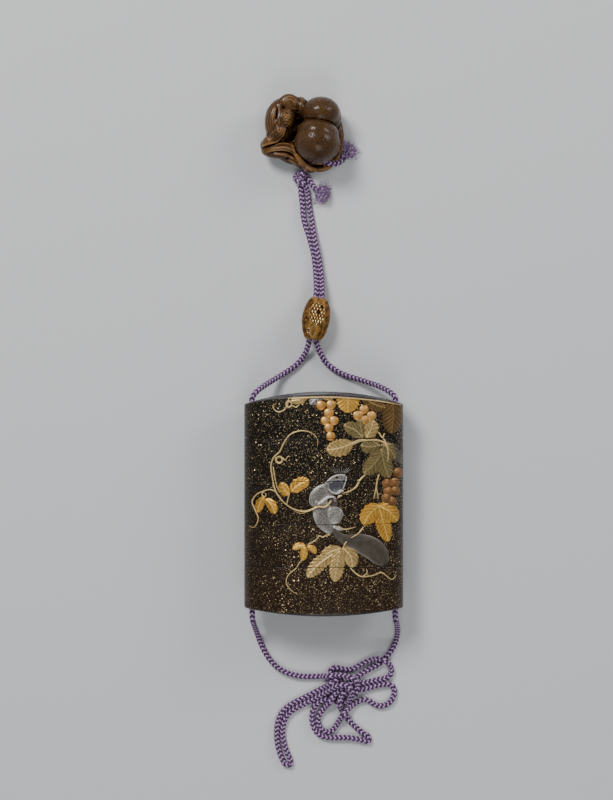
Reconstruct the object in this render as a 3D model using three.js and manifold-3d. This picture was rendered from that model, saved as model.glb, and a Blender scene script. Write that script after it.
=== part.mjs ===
// An inro: a small lidded case of nested trays, threaded on one silk cord with a carved toggle (netsuke)
// and a sliding bead (ojime). The set lies on its back. Millimetres, +Z up.
// +X is the case's width, +Y its height, towards the toggle. The origin is at the middle of the case's back.
import * as THREE from "three";
import { mergeVertices } from "three/addons/utils/BufferGeometryUtils.js";
import Module from "manifold-3d";

const wasm = await Module();
wasm.setup();

// ---- Driving dimensions ----
const GAP = 0.3; // left between pieces that touch
const WORK_ROOM = 400; // wider than the whole set

// Case
const CASE_HALF_WIDTH = 30;
const CASE_HALF_DEPTH = 12;
const CASE_SIDES = 48; // an edge, not a corner, lies on the ground
const SEAM_TOP = 25.3; // height of the joint between lid and first tray
const TRAY_PITCH = 16; // from one joint to the next
const LID_CROWN = { height: 42.8, radii: [77.5, 60, 57.6] }; // the ellipsoid that domes the lid
const BASE_CROWN = { height: -41.8, radii: [93, 60, 57.6] }; // and the flatter one under the base
const CROWN_AROUND = 32; // facets of both crowns
const CROWN_RINGS = 28;

// Nesting
const RISER_HALF_WIDTH = 23.6; // the collar that stands up into the piece above
const RISER_HALF_DEPTH = 10.6;
const RISER_HEIGHT = 6;
const RISER_WALL = 1;
const RISER_SIDES = 32;
const FLOOR_THICKNESS = 1.2;
const LID_CEILING = 38.2;
const BASE_FLOOR = -38.4;

// Cord and its runs through the case
const CORD_RADIUS = 1.05;
const CORD_SIDES = 8;
const STEP_LENGTH = 6.2; // about three cord diameters
const CHANNEL_X = 27;
const CHANNEL_RADIUS = 1.45;
const CHANNEL_SIDES = 10;
const CHANNEL_CORD_END = 41.3; // the straight stretch shows this far above and below the origin

// Bead
const BEAD_CENTRE = [-2.9, 70.5];
const BEAD_HALF_LENGTH = 8.3;
const BEAD_RADIUS = 5.3;
const BEAD_END_RADIUS = 3.9;
const BEAD_BORE_RADIUS = 2.8;
const BEAD_SIDES = 24;
const BEAD_LEAN = THREE.MathUtils.degToRad(-9);

// ---- Materials ----
const lacquer = new THREE.MeshStandardMaterial({ color: 0x1d1712, roughness: 0.3, metalness: 0.1 });
const boxwood = new THREE.MeshStandardMaterial({ color: 0x5b3a20, roughness: 0.35, metalness: 0 });
const gold = new THREE.MeshStandardMaterial({ color: 0xb88a3e, roughness: 0.35, metalness: 1 });
const silk = new THREE.MeshStandardMaterial({ color: 0x5d4280, roughness: 0.8, metalness: 0 });

// ---- Solids: joining and cutting ----
function toSolid(geometry) {
  const bare = geometry.clone();
  bare.deleteAttribute("normal");
  bare.deleteAttribute("uv");
  const merged = mergeVertices(bare, 1e-5);
  const vertProperties = new Float32Array(merged.attributes.position.array);
  const triVerts = new Uint32Array(merged.index.array);
  return new wasm.Manifold(new wasm.Mesh({ numProp: 3, vertProperties, triVerts }));
}

function toGeometry(solid) {
  const mesh = solid.getMesh();
  const geometry = new THREE.BufferGeometry();
  geometry.setAttribute("position", new THREE.BufferAttribute(new Float32Array(mesh.vertProperties), 3));
  geometry.setIndex(new THREE.BufferAttribute(new Uint32Array(mesh.triVerts), 1));
  geometry.computeVertexNormals();
  return geometry;
}

function joinAll(solids) {
  return solids.reduce((joined, solid) => joined.add(solid));
}

function cutAll(solid, cutters) {
  return cutters.reduce((left, cutter) => left.subtract(cutter), solid);
}

function named(name, solid, material) {
  const mesh = new THREE.Mesh(toGeometry(solid), material);
  mesh.name = name;
  return mesh;
}

// ---- Case ----
// Half a step of turn puts a flat facet, not a corner, at the very back of the outer oval.
const caseHalfStep = Math.PI / CASE_SIDES;
const caseAxisHeight = CASE_HALF_DEPTH * Math.cos(caseHalfStep);

function ovalPrism(halfWidth, halfDepth, sides, yLow, yHigh, x = 0) {
  const halfStep = Math.PI / sides;
  const corners = [];
  for (let i = 0; i < sides; i++) {
    const angle = 2 * i * halfStep + halfStep;
    corners.push(new THREE.Vector2(halfWidth * Math.cos(angle), halfDepth * Math.sin(angle)));
  }
  const oval = new THREE.Shape(corners);
  const prism = new THREE.ExtrudeGeometry(oval, { depth: yHigh - yLow, bevelEnabled: false });
  prism.rotateX(-Math.PI / 2);
  prism.translate(x, yLow, caseAxisHeight);
  return toSolid(prism);
}

function outerShell(yLow, yHigh) {
  return ovalPrism(CASE_HALF_WIDTH, CASE_HALF_DEPTH, CASE_SIDES, yLow, yHigh);
}

function crownDome({ height, radii }) {
  const dome = new THREE.SphereGeometry(1, CROWN_AROUND, CROWN_RINGS);
  dome.scale(...radii);
  dome.translate(0, height - Math.sign(height) * radii[1], caseAxisHeight);
  return toSolid(dome);
}

function riser(seam) {
  const foot = seam - TRAY_PITCH / 2;
  return ovalPrism(RISER_HALF_WIDTH, RISER_HALF_DEPTH, RISER_SIDES, foot, seam + RISER_HEIGHT);
}

function socket(seam, ceiling) {
  const below = seam - TRAY_PITCH / 2;
  return ovalPrism(RISER_HALF_WIDTH + GAP, RISER_HALF_DEPTH + GAP, RISER_SIDES, below, ceiling);
}

function hollow(floor, seam) {
  const halfWidth = RISER_HALF_WIDTH - RISER_WALL;
  const halfDepth = RISER_HALF_DEPTH - RISER_WALL;
  return ovalPrism(halfWidth, halfDepth, RISER_SIDES, floor, seam + TRAY_PITCH / 2);
}

function cordChannels() {
  const reach = LID_CROWN.height + CHANNEL_RADIUS;
  return [-CHANNEL_X, CHANNEL_X].map((x) =>
    ovalPrism(CHANNEL_RADIUS, CHANNEL_RADIUS, CHANNEL_SIDES, -reach, reach, x));
}

function makeLid() {
  const shell = outerShell(SEAM_TOP + GAP / 2, LID_CROWN.height).intersect(crownDome(LID_CROWN));
  return named("lid", cutAll(shell, [socket(SEAM_TOP, LID_CEILING), ...cordChannels()]), lacquer);
}

function makeTray(number) {
  const top = SEAM_TOP - (number - 1) * TRAY_PITCH;
  const bottom = top - TRAY_PITCH;
  const socketCeiling = bottom + RISER_HEIGHT + GAP;
  const body = outerShell(bottom + GAP / 2, top - GAP / 2).add(riser(top));
  const cutters = [socket(bottom, socketCeiling), hollow(socketCeiling + FLOOR_THICKNESS, top)];
  return named(`tray_${number}`, cutAll(body, [...cutters, ...cordChannels()]), lacquer);
}

function makeBaseTray() {
  const top = SEAM_TOP - 3 * TRAY_PITCH;
  const shell = outerShell(BASE_CROWN.height, top - GAP / 2).intersect(crownDome(BASE_CROWN));
  const cutters = [hollow(BASE_FLOOR, top), ...cordChannels()];
  return named("base_tray", cutAll(shell.add(riser(top)), cutters), lacquer);
}

// ---- Cord ----
// The routes' points, in millimetres. Each runs away from the toggle, towards the bow.
const leftUpperRoute = [
  [7.6, 131.6, 1.9], [5.6, 130.2, 2.6], [2.2, 129.8, 3.8], [-1.2, 131.2, 4.2], [-4.6, 130.6, 4.2],
  [-7.0, 128.2, 4.0], [-8.2, 125.4, 3.4], [-8.6, 122.6, 1.6], [-8.6, 119.2, 1.2], [-8.0, 113.8, 1.2],
  [-7.6, 108.5, 1.2], [-5.4, 100.3, 1.2], [-3.6, 92, 1.2], [-3.0, 85.5, 2.6], [-2.9, 80, 5.0],
  [-3.6, 74.5, 5.25], [-4.4, 69.4, 5.25], [-5.3, 63.5, 5.2], [-6.1, 59.6, 3.4], [-7.8, 56.1, 1.4],
  [-10.9, 53, 1.2], [-14.7, 50.7, 1.2], [-18.8, 48.8, 2.2], [-23, 46.8, 6.4], [-26.1, 45, 10.4],
  [-27, 42.8, 12], [-27, 41.7, 12],
];
const rightUpperRoute = [
  [-6.0, 118.8, 1.2], [-5.4, 113.8, 1.2], [-4.4, 109.2, 1.2], [-2.6, 101.4, 1.2], [-0.8, 92.8, 1.2],
  [-0.3, 85.5, 2.6], [-0.4, 80, 5.0], [-1.2, 74.1, 5.25], [-2.0, 69, 5.25], [-2.9, 63, 5.2],
  [-1.7, 58.4, 2.9], [1, 54, 1.2], [4.9, 50.9, 1.2], [9.7, 49.2, 1.2], [14.7, 48.0, 1.8],
  [20.2, 47.2, 4.6], [25.4, 45.4, 9.8], [27, 42.8, 12], [27, 41.7, 12],
];
const leftLowerRoute = [
  [-27, -41.7, 12], [-27, -42.8, 12], [-26.7, -44.6, 10.4], [-26.1, -46.8, 7], [-24.9, -51.2, 2.6],
  [-22.4, -57.2, 1.2], [-17.2, -63.3, 1.2], [-10.3, -66, 1.2], [-3.3, -66.2, 1.2], [0.6, -66.0, 1.5],
];
const rightLowerRoute = [
  [27, -41.7, 12], [27, -42.8, 12], [27.7, -44.6, 10.4], [28.4, -46.8, 7.2], [28.3, -50.9, 3],
  [26.8, -55.5, 1.2],
];

// The bow lies on the ground below the case. The cord from the right enters it under the upper ear.
const rightLeadIn = [
  [26.6, -55.9, 1.2], [24.5, -58.4, 1.2], [21.8, -61.2, 1.2], [18.2, -63.1, 1.2], [12.4, -65.5, 1.6],
];
const upperEarLoop = [
  [12.4, -62.8, 2.2], [15.8, -60.8, 3.2], [18.9, -59.4, 3.5], [22.3, -59, 3.5], [25.4, -61.1, 3.4],
  [26.5, -64.4, 3.4], [25, -66.9, 3.5], [21.5, -67.4, 3.4], [14, -69, 3],
];
const lowerEarLoop = [
  [14, -72, 1.2], [18.9, -76.7, 1.2], [22.4, -77.7, 1.2], [25.5, -76.2, 1.2], [27.2, -72.9, 1.2],
  [26.8, -69.8, 1.2], [24.3, -68.9, 1.2], [20.9, -69.5, 1.2], [14, -70.6, 1.2],
];
const ringLoop = [
  [4.4, -74.3, 3.2], [0.6, -77.9, 1.3], [-1.7, -80.6, 1.2], [-2.3, -84.4, 1.2], [0, -87.4, 1.2],
  [3.3, -87.2, 1.4], [5.7, -83.8, 2.6], [7.6, -80, 3.5], [10.7, -77.2, 3], [13.8, -73.5, 1.8],
];
const bottomLoop = [
  [2.9, -73.4, 1.4], [-3.4, -77.3, 1.2], [-4.6, -81.7, 1.2], [-3.8, -86.1, 1.2], [-0.8, -89.2, 1.2],
  [3.6, -89.7, 1.2], [10.1, -89.6, 1.2], [18.1, -90.8, 1.2], [14.7, -87.6, 1.2], [11.3, -84.6, 1.2],
  [6.7, -77.3, 1.2],
];
const tailRoute = [
  [4, -70.5, 3.4], [-2.2, -73.4, 3], [-9.4, -76.5, 1.3], [-14.8, -81.2, 1.2], [-16.7, -88.3, 1.2],
  [-15.9, -94, 1.2], [-13.4, -99.3, 1.2],
];
const TAIL_HALF_WIDTH = 2.2; // two cords side by side
const knot = { centre: [8.3, -69.6, 4.2], radii: [7.1, 8.6, 4.4] };

function swept(points, steps, radius, sideways) {
  const places = points.map((point) => new THREE.Vector3(...point));
  const extrudePath = new THREE.CatmullRomCurve3(places, false, "centripetal");
  const corners = [];
  for (let i = 0; i < CORD_SIDES; i++) {
    const angle = (2 * Math.PI * i) / CORD_SIDES;
    corners.push(new THREE.Vector2(radius * Math.cos(angle), sideways * Math.sin(angle)));
  }
  const stepCount = steps ?? Math.max(2, Math.round(extrudePath.getLength() / STEP_LENGTH));
  const options = { steps: stepCount, extrudePath, bevelEnabled: false };
  return toSolid(new THREE.ExtrudeGeometry(new THREE.Shape(corners), options));
}

// The straight stretches in the case's channels need no more than two steps; the rest takes what it needs.
function straightCord(points) {
  return swept(points, 2, CORD_RADIUS, CORD_RADIUS);
}

function tube(points, radius = CORD_RADIUS, sideways = radius) {
  return swept(points, null, radius, sideways);
}

// An egg shape by its centre and half sizes, turned about the upright axis.
function ellipsoid({ centre, radii, turn = 0, around = 12, rings = 8 }) {
  const ball = new THREE.SphereGeometry(1, around, rings);
  ball.scale(...radii);
  ball.rotateZ(turn);
  ball.translate(...centre);
  return toSolid(ball);
}

// Keeps what is above the ground.
function aboveGround(solid) {
  const block = new THREE.BoxGeometry(WORK_ROOM, WORK_ROOM, WORK_ROOM);
  block.translate(0, 0, WORK_ROOM / 2);
  return solid.intersect(toSolid(block));
}

function makeChannelCord(side, x) {
  const places = [CHANNEL_CORD_END, 0, -CHANNEL_CORD_END].map((y) => [x, y, caseAxisHeight]);
  return named(`cord_${side}_channel`, straightCord(places), silk);
}

function makeBow() {
  const lump = ellipsoid({ ...knot, around: 20, rings: 12 });
  const loops = [rightLeadIn, upperEarLoop, lowerEarLoop, ringLoop, bottomLoop].map((route) => tube(route));
  const bow = joinAll([lump, ...loops, tube(tailRoute, CORD_RADIUS, TAIL_HALF_WIDTH)]);
  return named("cord_bow", cutAll(aboveGround(bow), [tube(leftLowerRoute, CORD_RADIUS + GAP)]), silk);
}

// The right end is hitched round the left cord just below the toggle, and ends in a frayed tuft.
const rightEndLumps = [
  { centre: [-7.6, 123.2, 2.6], radii: [4.2, 3, 2.6] },
  { centre: [-3.6, 121.4, 2.2], radii: [2.6, 1.7, 1.7], turn: -0.6, around: 8, rings: 6 },
  { centre: [0.2, 117.8, 3], radii: [4.2, 3.6, 3], turn: -0.5 },
];
const leftEndTuft = { centre: [10.3, 135.2, 2.8], radii: [2.2, 4, 2.4], turn: -0.35 };

function makeRightEnd() {
  const lumps = aboveGround(joinAll(rightEndLumps.map(ellipsoid)));
  const clearance = [tube(leftUpperRoute, CORD_RADIUS + GAP), tube(rightUpperRoute, CORD_RADIUS + GAP)];
  return named("cord_right_end", cutAll(lumps, clearance), silk);
}

function makeLeftEnd() {
  const tuft = aboveGround(ellipsoid(leftEndTuft));
  return named("cord_left_end", cutAll(tuft, [tube(leftUpperRoute, CORD_RADIUS + GAP)]), silk);
}

// ---- Bead ----
function makeBead() {
  const outline = [];
  const outlineSteps = 8;
  for (let i = 0; i <= outlineSteps; i++) {
    const along = -1 + (2 * i) / outlineSteps;
    const bulge = Math.cos((along * Math.PI) / 2);
    const radius = BEAD_END_RADIUS + (BEAD_RADIUS - BEAD_END_RADIUS) * bulge;
    outline.push(new THREE.Vector2(radius, along * BEAD_HALF_LENGTH));
  }
  outline.push(new THREE.Vector2(BEAD_BORE_RADIUS, BEAD_HALF_LENGTH));
  outline.push(new THREE.Vector2(BEAD_BORE_RADIUS, -BEAD_HALF_LENGTH));
  outline.push(outline[0].clone());
  const bead = new THREE.LatheGeometry(outline, BEAD_SIDES);
  bead.rotateY(Math.PI / BEAD_SIDES); // a facet faces the ground
  bead.rotateZ(BEAD_LEAN);
  bead.translate(BEAD_CENTRE[0], BEAD_CENTRE[1], BEAD_RADIUS * Math.cos(Math.PI / BEAD_SIDES));
  return named("ojime", toSolid(bead), gold);
}

// ---- Toggle ----
// Two fruits lie on a curled leaf; a second leaf is folded in pleats below them.
const fruits = [
  { centre: [-2.6, 137.6, 12.2], radii: [9, 8.6, 9.2], around: 20, rings: 12 },
  { centre: [-0.5, 148, 10.6], radii: [6.9, 6.2, 7.2], around: 16, rings: 10 },
  { centre: [-13, 152.2, 9.5], radii: [3.8, 3.4, 4.6], turn: 0.3 },
];
const leafBed = { centre: [-2.2, 138.5, 4], radii: [9.8, 12.6, 3.6] };
const core = { centre: [-9.4, 140.4, 5], radii: [12.4, 11.6, 6] };
const curledLeaf = { centre: [-16.1, 145.6, 9], radii: [6.1, 8.4, 7.6], turn: 0.1 };
const foldedLeaf = { centre: [-14.8, 133.6, 7], radii: [9.2, 4.6, 6.4], turn: -0.36 };
const PLEATS = 4; // on the folded leaf
const RIBS = 5; // on the curled leaf

function makePleats() {
  const pleats = [];
  for (let i = 0; i < PLEATS; i++) {
    const spread = i / (PLEATS - 1) - 0.5;
    const centre = [-14.6 + 1.5 * spread, 133.8 - 6.6 * spread, 9.6 - 3.4 * spread];
    const turn = foldedLeaf.turn - 0.5 * spread;
    pleats.push(ellipsoid({ centre, radii: [8.6, 1.3, 3.2], turn, around: 10 }));
  }
  return pleats;
}

function makeRibs() {
  const ribs = [];
  for (let i = 0; i < RIBS; i++) {
    const spread = i / (RIBS - 1) - 0.5;
    const centre = [-16.6 + 8.4 * spread, 145.8, 13.2 - 10 * spread * spread];
    const halfLength = 7.2 - 6 * spread * spread;
    const turn = curledLeaf.turn - 0.5 * spread;
    ribs.push(ellipsoid({ centre, radii: [0.9, halfLength, 3.4], turn, around: 8, rings: 6 }));
  }
  return ribs;
}

function makeNetsuke() {
  const rounded = [...fruits, leafBed, core, curledLeaf, foldedLeaf];
  const carved = aboveGround(joinAll([...rounded.map(ellipsoid), ...makePleats(), ...makeRibs()]));
  return named("netsuke", cutAll(carved, [tube(leftUpperRoute, CORD_RADIUS + GAP)]), boxwood);
}

// ---- The set ----
const inro = new THREE.Group();
inro.add(makeLid());
inro.add(makeTray(1), makeTray(2), makeTray(3));
inro.add(makeBaseTray());
inro.add(makeBead());
inro.add(makeNetsuke());
inro.add(named("cord_left_upper", tube(leftUpperRoute), silk));
inro.add(named("cord_right_upper", tube(rightUpperRoute), silk));
inro.add(makeChannelCord("left", -CHANNEL_X), makeChannelCord("right", CHANNEL_X));
inro.add(named("cord_left_lower", tube(leftLowerRoute), silk));
inro.add(named("cord_right_lower", tube(rightLowerRoute), silk));
inro.add(makeBow());
inro.add(makeLeftEnd());
inro.add(makeRightEnd());

export default inro;
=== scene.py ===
# %% [markdown]
# An inro is a small case of nested trays that hung from a belt. One silk cord runs down one side of the
# case, is tied in a bow below it, and runs up the other side. It then goes through a bead, which slides
# down to hold the case shut, and ends in a carved toggle. Here the loose set lies on its back, seen from
# straight above.
#
# The first cell loads the fixed frame: the solids at their real size, in metres. The looks are built
# around them in the same place. Lengths in this file are written in millimetres where a maker would say
# them so, and MM turns them into metres.

# %% Load the frame
import math

import bmesh
import bpy
import numpy as np
from mathutils import Matrix, Vector


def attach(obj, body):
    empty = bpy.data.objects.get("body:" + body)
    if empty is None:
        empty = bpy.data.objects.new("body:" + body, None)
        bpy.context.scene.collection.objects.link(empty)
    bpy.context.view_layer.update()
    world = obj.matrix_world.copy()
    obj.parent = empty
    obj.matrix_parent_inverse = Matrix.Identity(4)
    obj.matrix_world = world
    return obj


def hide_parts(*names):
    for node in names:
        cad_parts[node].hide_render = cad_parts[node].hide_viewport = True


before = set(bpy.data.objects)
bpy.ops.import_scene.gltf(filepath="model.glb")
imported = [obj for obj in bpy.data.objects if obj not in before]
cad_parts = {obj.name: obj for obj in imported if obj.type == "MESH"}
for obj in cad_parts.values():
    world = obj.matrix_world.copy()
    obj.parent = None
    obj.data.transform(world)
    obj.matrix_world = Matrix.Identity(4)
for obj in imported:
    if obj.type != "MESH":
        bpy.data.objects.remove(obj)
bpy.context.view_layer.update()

MM = 0.001
TURN = 2 * math.pi
print("nodes:", ", ".join(sorted(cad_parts)))

# %% [markdown]
# A camera could be placed by eye. Here its height is chosen first, a comfortable distance for something
# this small, and the lens then follows from how much has to fit in the frame.

# %% Camera
CAMERA_HEIGHT = 800 * MM
MIDDLE_DEPTH = 12 * MM  # half the depth of the case
VIEW_CENTRE = (-6.5 * MM, 39.6 * MM)
VIEW_HEIGHT = 302 * MM
SENSOR = 36

lens_data = bpy.data.cameras.new("camera")
lens_data.sensor_width = SENSOR
lens_data.lens = SENSOR * (CAMERA_HEIGHT - MIDDLE_DEPTH) / VIEW_HEIGHT
lens_data.clip_start = 10 * MM
camera = bpy.data.objects.new("camera", lens_data)
camera.location = (*VIEW_CENTRE, CAMERA_HEIGHT)
bpy.context.scene.collection.objects.link(camera)
bpy.context.scene.camera = camera
print(f"lens {lens_data.lens:.1f} mm")

# %% [markdown]
# Every finish below is built from the same few nodes, so a small helper keeps the recipes short: it adds
# a node, joins or sets its inputs, and returns the output that is needed. Colours are written as the
# fractions of red, green and blue that a paint would reflect.

# %% A helper for finishes
class Finish:
    def __init__(self, name, **settings):
        self.material = bpy.data.materials.new(name)
        self.material.use_nodes = True
        self.tree = self.material.node_tree
        self.shader = self.tree.nodes["Principled BSDF"]
        self.set(**settings)

    def feed(self, socket, value):
        if isinstance(value, bpy.types.NodeSocket):
            self.tree.links.new(value, socket)
        elif socket.type == "RGBA":
            socket.default_value = (*value, 1)
        else:
            socket.default_value = value

    def set(self, **settings):
        """Sets the shader's own sockets: base_color feeds "Base Color", and so on."""
        names = {socket.name.lower().replace(" ", "_"): socket for socket in self.shader.inputs}
        for name, value in settings.items():
            self.feed(names[name], value)

    def add(self, kind, inputs, output=0, **settings):
        node = self.tree.nodes.new("ShaderNode" + kind)
        for name, value in settings.items():
            setattr(node, name, value)
        for key, value in inputs.items():
            self.feed(node.inputs[key], value)
        return node.outputs[output]

    def math(self, operation, first, second=0.0):
        return self.add("Math", {0: first, 1: second}, operation=operation)

    def times(self, first, second):
        return self.math("MULTIPLY", first, second)

    def mix(self, share, first, second):
        return self.add("Mix", {0: share, 6: first, 7: second}, output=2, data_type="RGBA")

    def blend(self, share, first, second):
        """Like mix, for plain numbers."""
        return self.add("Mix", {0: share, 2: first, 3: second})

    def step(self, value, low, high):
        """0 below low, 1 above high and smooth between."""
        limits = {"Value": value, "From Min": low, "From Max": high}
        return self.add("MapRange", limits, interpolation_type="SMOOTHSTEP")

    def split(self, vector):
        """The outputs "X", "Y" and "Z" of a vector or a UV map."""
        node = self.tree.nodes.new("ShaderNodeSeparateXYZ")
        self.feed(node.inputs[0], vector)
        return node.outputs

    def uv(self, name):
        return self.split(self.add("UVMap", {}, uv_map=name))[:2]

    def noise(self, place, scale, detail=2.0):
        return self.add("TexNoise", {"Vector": place, "Scale": scale, "Detail": detail})

    def here(self):
        return self.add("TexCoord", {}, output="Object")

    def bump(self, height, distance, strength=1.0):
        inputs = {"Height": height, "Distance": distance, "Strength": strength}
        self.set(normal=self.add("Bump", inputs))


print("finish helper ready")

# %% [markdown]
# Black lacquer shows what is around it more than its own colour. Large soft lights leave broad gentle
# reflections, and small ones give the wood and the gold their sparks. So the lamps are of middling size: a
# strong one on the upper left, a weaker one on the right for the rims, and a third on the near side, with
# a dim grey sky to fill the shadows.

# %% Floor and light
FLOOR_SIZE = 6.0
LAMP_AIM = (0, 40 * MM, 0)


def mesh_of(name, bm):
    """Turns a finished bmesh into a mesh."""
    mesh = bpy.data.meshes.new(name)
    bm.to_mesh(mesh)
    bm.free()
    return mesh


def make_floor():
    bm = bmesh.new()
    bmesh.ops.create_grid(bm, x_segments=1, y_segments=1, size=FLOOR_SIZE / 2)
    mesh = mesh_of("floor", bm)
    mesh.materials.append(Finish("floor_paper", base_color=(0.62, 0.62, 0.63), roughness=0.9).material)
    floor = bpy.data.objects.new("floor", mesh)
    bpy.context.scene.collection.objects.link(floor)


def add_lamp(name, place, size, power):
    data = bpy.data.lights.new(name, "AREA")
    data.size = size
    data.energy = power
    lamp = bpy.data.objects.new(name, data)
    lamp.location = place
    lamp.rotation_euler = (Vector(LAMP_AIM) - Vector(place)).to_track_quat("-Z", "Y").to_euler()
    bpy.context.scene.collection.objects.link(lamp)


make_floor()
add_lamp("soft_key", (-0.40, 0.60, 0.75), 0.30, 8.0)
add_lamp("rim_right", (0.70, 0.50, 0.45), 0.35, 3.0)
add_lamp("front_fill", (0.05, -0.65, 0.80), 0.50, 3.0)
world = bpy.data.worlds.new("studio")
world.use_nodes = True
world.node_tree.nodes["Background"].inputs["Color"].default_value = (0.8, 0.85, 0.9, 1)
world.node_tree.nodes["Background"].inputs["Strength"].default_value = 0.30
bpy.context.scene.world = world
print("stage ready")

# %% [markdown]
# The cord is one braid of silk, a little over two millimetres thick. Its route could be drawn as one
# curve, but where strands cross, a drawn curve soon passes through itself. So the route is first written
# down as points, stretch by stretch, with each crossing marked only as over or under. A
# point with two numbers lies on the ground, and a third number is its height.

# %% The cord's route
CORD_DIAMETER = 2.1 * MM
CHANNEL_X = 27
CASE_AXIS = 12  # height of the case's middle above the ground
ON_GROUND = 1.2  # height of the cord's middle where it lies on the ground

LEFT_UPPER = [
    (7.6, 131.6, 1.9), (5.6, 130.2, 2.6), (2.2, 129.8, 3.8), (-1.2, 131.2, 4.2), (-4.6, 130.6, 4.2),
    (-7.0, 128.2, 4.0), (-8.2, 125.4, 3.4), (-8.6, 122.6, 1.6), (-8.6, 119.2), (-8.0, 113.8),
    (-7.5, 108.5), (-5.6, 102.3), (-3.9, 96.0), (-3.1, 90.0, 1.4), (-2.8, 85.5, 2.6), (-2.8, 80.0, 5.0),
    (-3.6, 74.5, 5.25), (-4.4, 69.4, 5.25), (-5.3, 63.5, 5.2), (-6.1, 59.6, 3.4), (-7.8, 56.1, 1.4),
    (-10.9, 52.6), (-14.9, 49.9, 1.6), (-18.4, 47.7, 3.6), (-22.0, 45.4, 7.4), (-25.2, 42.9, 10.8),
]
CHANNEL_HEIGHTS = (40.6, 39.4, 28, 14, 0, -14, -28, -41.7, -42.8)
LEFT_CHANNEL = [(-CHANNEL_X, y, CASE_AXIS) for y in CHANNEL_HEIGHTS]
LEFT_LOWER = [
    (-26.7, -44.6, 10.4), (-26.1, -46.8, 7.0), (-24.9, -51.2, 2.6), (-22.4, -57.2), (-17.2, -63.3),
    (-10.3, -66.0), (-3.3, -66.2),
]
KNOT_IN = [
    (0.8, -66.0, 2.2), (3.4, -65.6, 4.4), (6.8, -65.4, 6.3), (10.4, -66.2, 6.4), (12.9, -68.6, 4.8),
    (13.0, -71.4, 2.6), (10.4, -73.2), (7.2, -72.6), (4.8, -70.2), (3.0, -67.2), (2.2, -64.8, 1.8),
    (3.6, -63.2, 3.2), (6.2, -63.0, 4.0), (8.6, -63.6, 3.0), (10.4, -63.6, 2.2),
]
UPPER_EAR = [
    (12.4, -62.8, 2.2), (15.8, -60.8, 3.2), (18.9, -59.4, 3.5), (22.3, -59.0, 3.5), (25.4, -61.1, 3.4),
    (26.5, -64.4, 3.4), (25.0, -66.9, 3.5), (21.5, -67.4, 3.4), (17.4, -68.3, 3.0),
]
KNOT_TO_RING = [
    (13.9, -69.1, 2.6), (10.1, -69.4, 3.2), (6.6, -69.7, 3.8), (4.2, -71.4, 3.8), (3.4, -74.0, 3.0),
    (2.4, -76.2, 2.0),
]
RING = [
    (0.6, -77.9, 1.3), (-1.7, -80.6), (-2.3, -84.4), (0.0, -87.4), (3.3, -87.2, 1.4), (5.7, -83.8, 2.6),
    (7.6, -80.0, 3.5), (10.7, -77.2, 3.0), (13.8, -75.3, 1.8),
]
LOWER_EAR = [
    (16.5, -74.6), (18.9, -76.7), (22.4, -77.7), (25.5, -76.2), (27.2, -72.9), (26.8, -69.8),
    (24.3, -68.9), (20.9, -69.5), (17.4, -70.6),
]
KNOT_TO_TAIL = [(14.4, -71.4), (10.9, -71.6), (7.9, -69.8), (7.4, -67.3, 3.2), (5.1, -67.0, 4.2)]
TAIL = [
    (2.9, -68.8, 3.2), (0.2, -70.6, 2.4), (-3.3, -72.6, 2.2), (-9.8, -75.4), (-15.3, -78.8),
    (-17.4, -82.9), (-18.0, -88.6), (-17.2, -94.3), (-15.5, -98.5), (-13.8, -100.6), (-12.2, -99.5),
    (-13.6, -96.3), (-15.1, -92.4), (-15.9, -88.0), (-15.4, -84.0), (-13.8, -80.5), (-8.5, -77.1, 1.8),
    (-3.6, -74.9, 3.4), (-0.2, -72.7, 3.6),
]
KNOT_OVER = [
    (2.6, -71.4, 5.0), (5.6, -69.4, 6.0), (8.8, -68.6, 5.8), (11.0, -70.4, 5.2), (11.0, -73.6, 4.6),
    (9.4, -76.0, 3.4), (6.4, -76.6, 2.0), (3.2, -75.4, 1.4),
]
BOTTOM_LOOP = [
    (-0.4, -74.8), (-3.4, -77.3), (-4.6, -81.7), (-3.8, -86.1), (-0.8, -89.2), (3.6, -89.7),
    (10.1, -89.6), (15.5, -90.7), (18.0, -91.1), (17.6, -89.7), (14.7, -87.6), (11.3, -84.6),
    (8.4, -81.5), (6.7, -78.3),
]
KNOT_OUT = [(6.3, -75.0, 5.0), (8.1, -71.1, 5.8), (10.9, -68.4, 3.6), (14.7, -64.9)]
RIGHT_LOWER = [
    (18.2, -63.1), (21.8, -61.2), (24.5, -58.4), (26.8, -55.5), (28.3, -50.9, 3.0), (28.4, -46.8, 7.2),
    (27.7, -44.6, 10.4),
]
RIGHT_CHANNEL = [(CHANNEL_X, y, CASE_AXIS) for y in reversed(CHANNEL_HEIGHTS)]
RIGHT_UPPER = [
    (24.6, 42.9, 10.2), (20.2, 45.2, 6.6), (15.4, 46.9, 3.6), (10.8, 48.3, 1.8), (7.2, 49.6), (4.2, 51.3),
    (1.0, 54.0), (-1.7, 58.4, 2.9), (-2.9, 63.0, 5.2), (-2.0, 69.0, 5.25), (-1.2, 74.1, 5.25),
    (-0.6, 80.0, 5.0), (-0.7, 85.5, 2.8), (-1.4, 91.5, 2.0), (-2.6, 97.5, 2.6), (-3.6, 102.4, 2.0),
    (-4.5, 108.2), (-5.5, 113.8), (-6.2, 118.8, 1.3),
]
HITCH = [
    (-6.8, 121.2, 2.8), (-8.3, 122.5, 3.9), (-10.2, 123.3, 3.1), (-10.9, 124.8, 1.6), (-9.7, 125.9),
    (-7.5, 125.5), (-5.7, 123.8), (-4.2, 121.8, 1.3), (-2.8, 119.9, 1.8),
]

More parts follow.
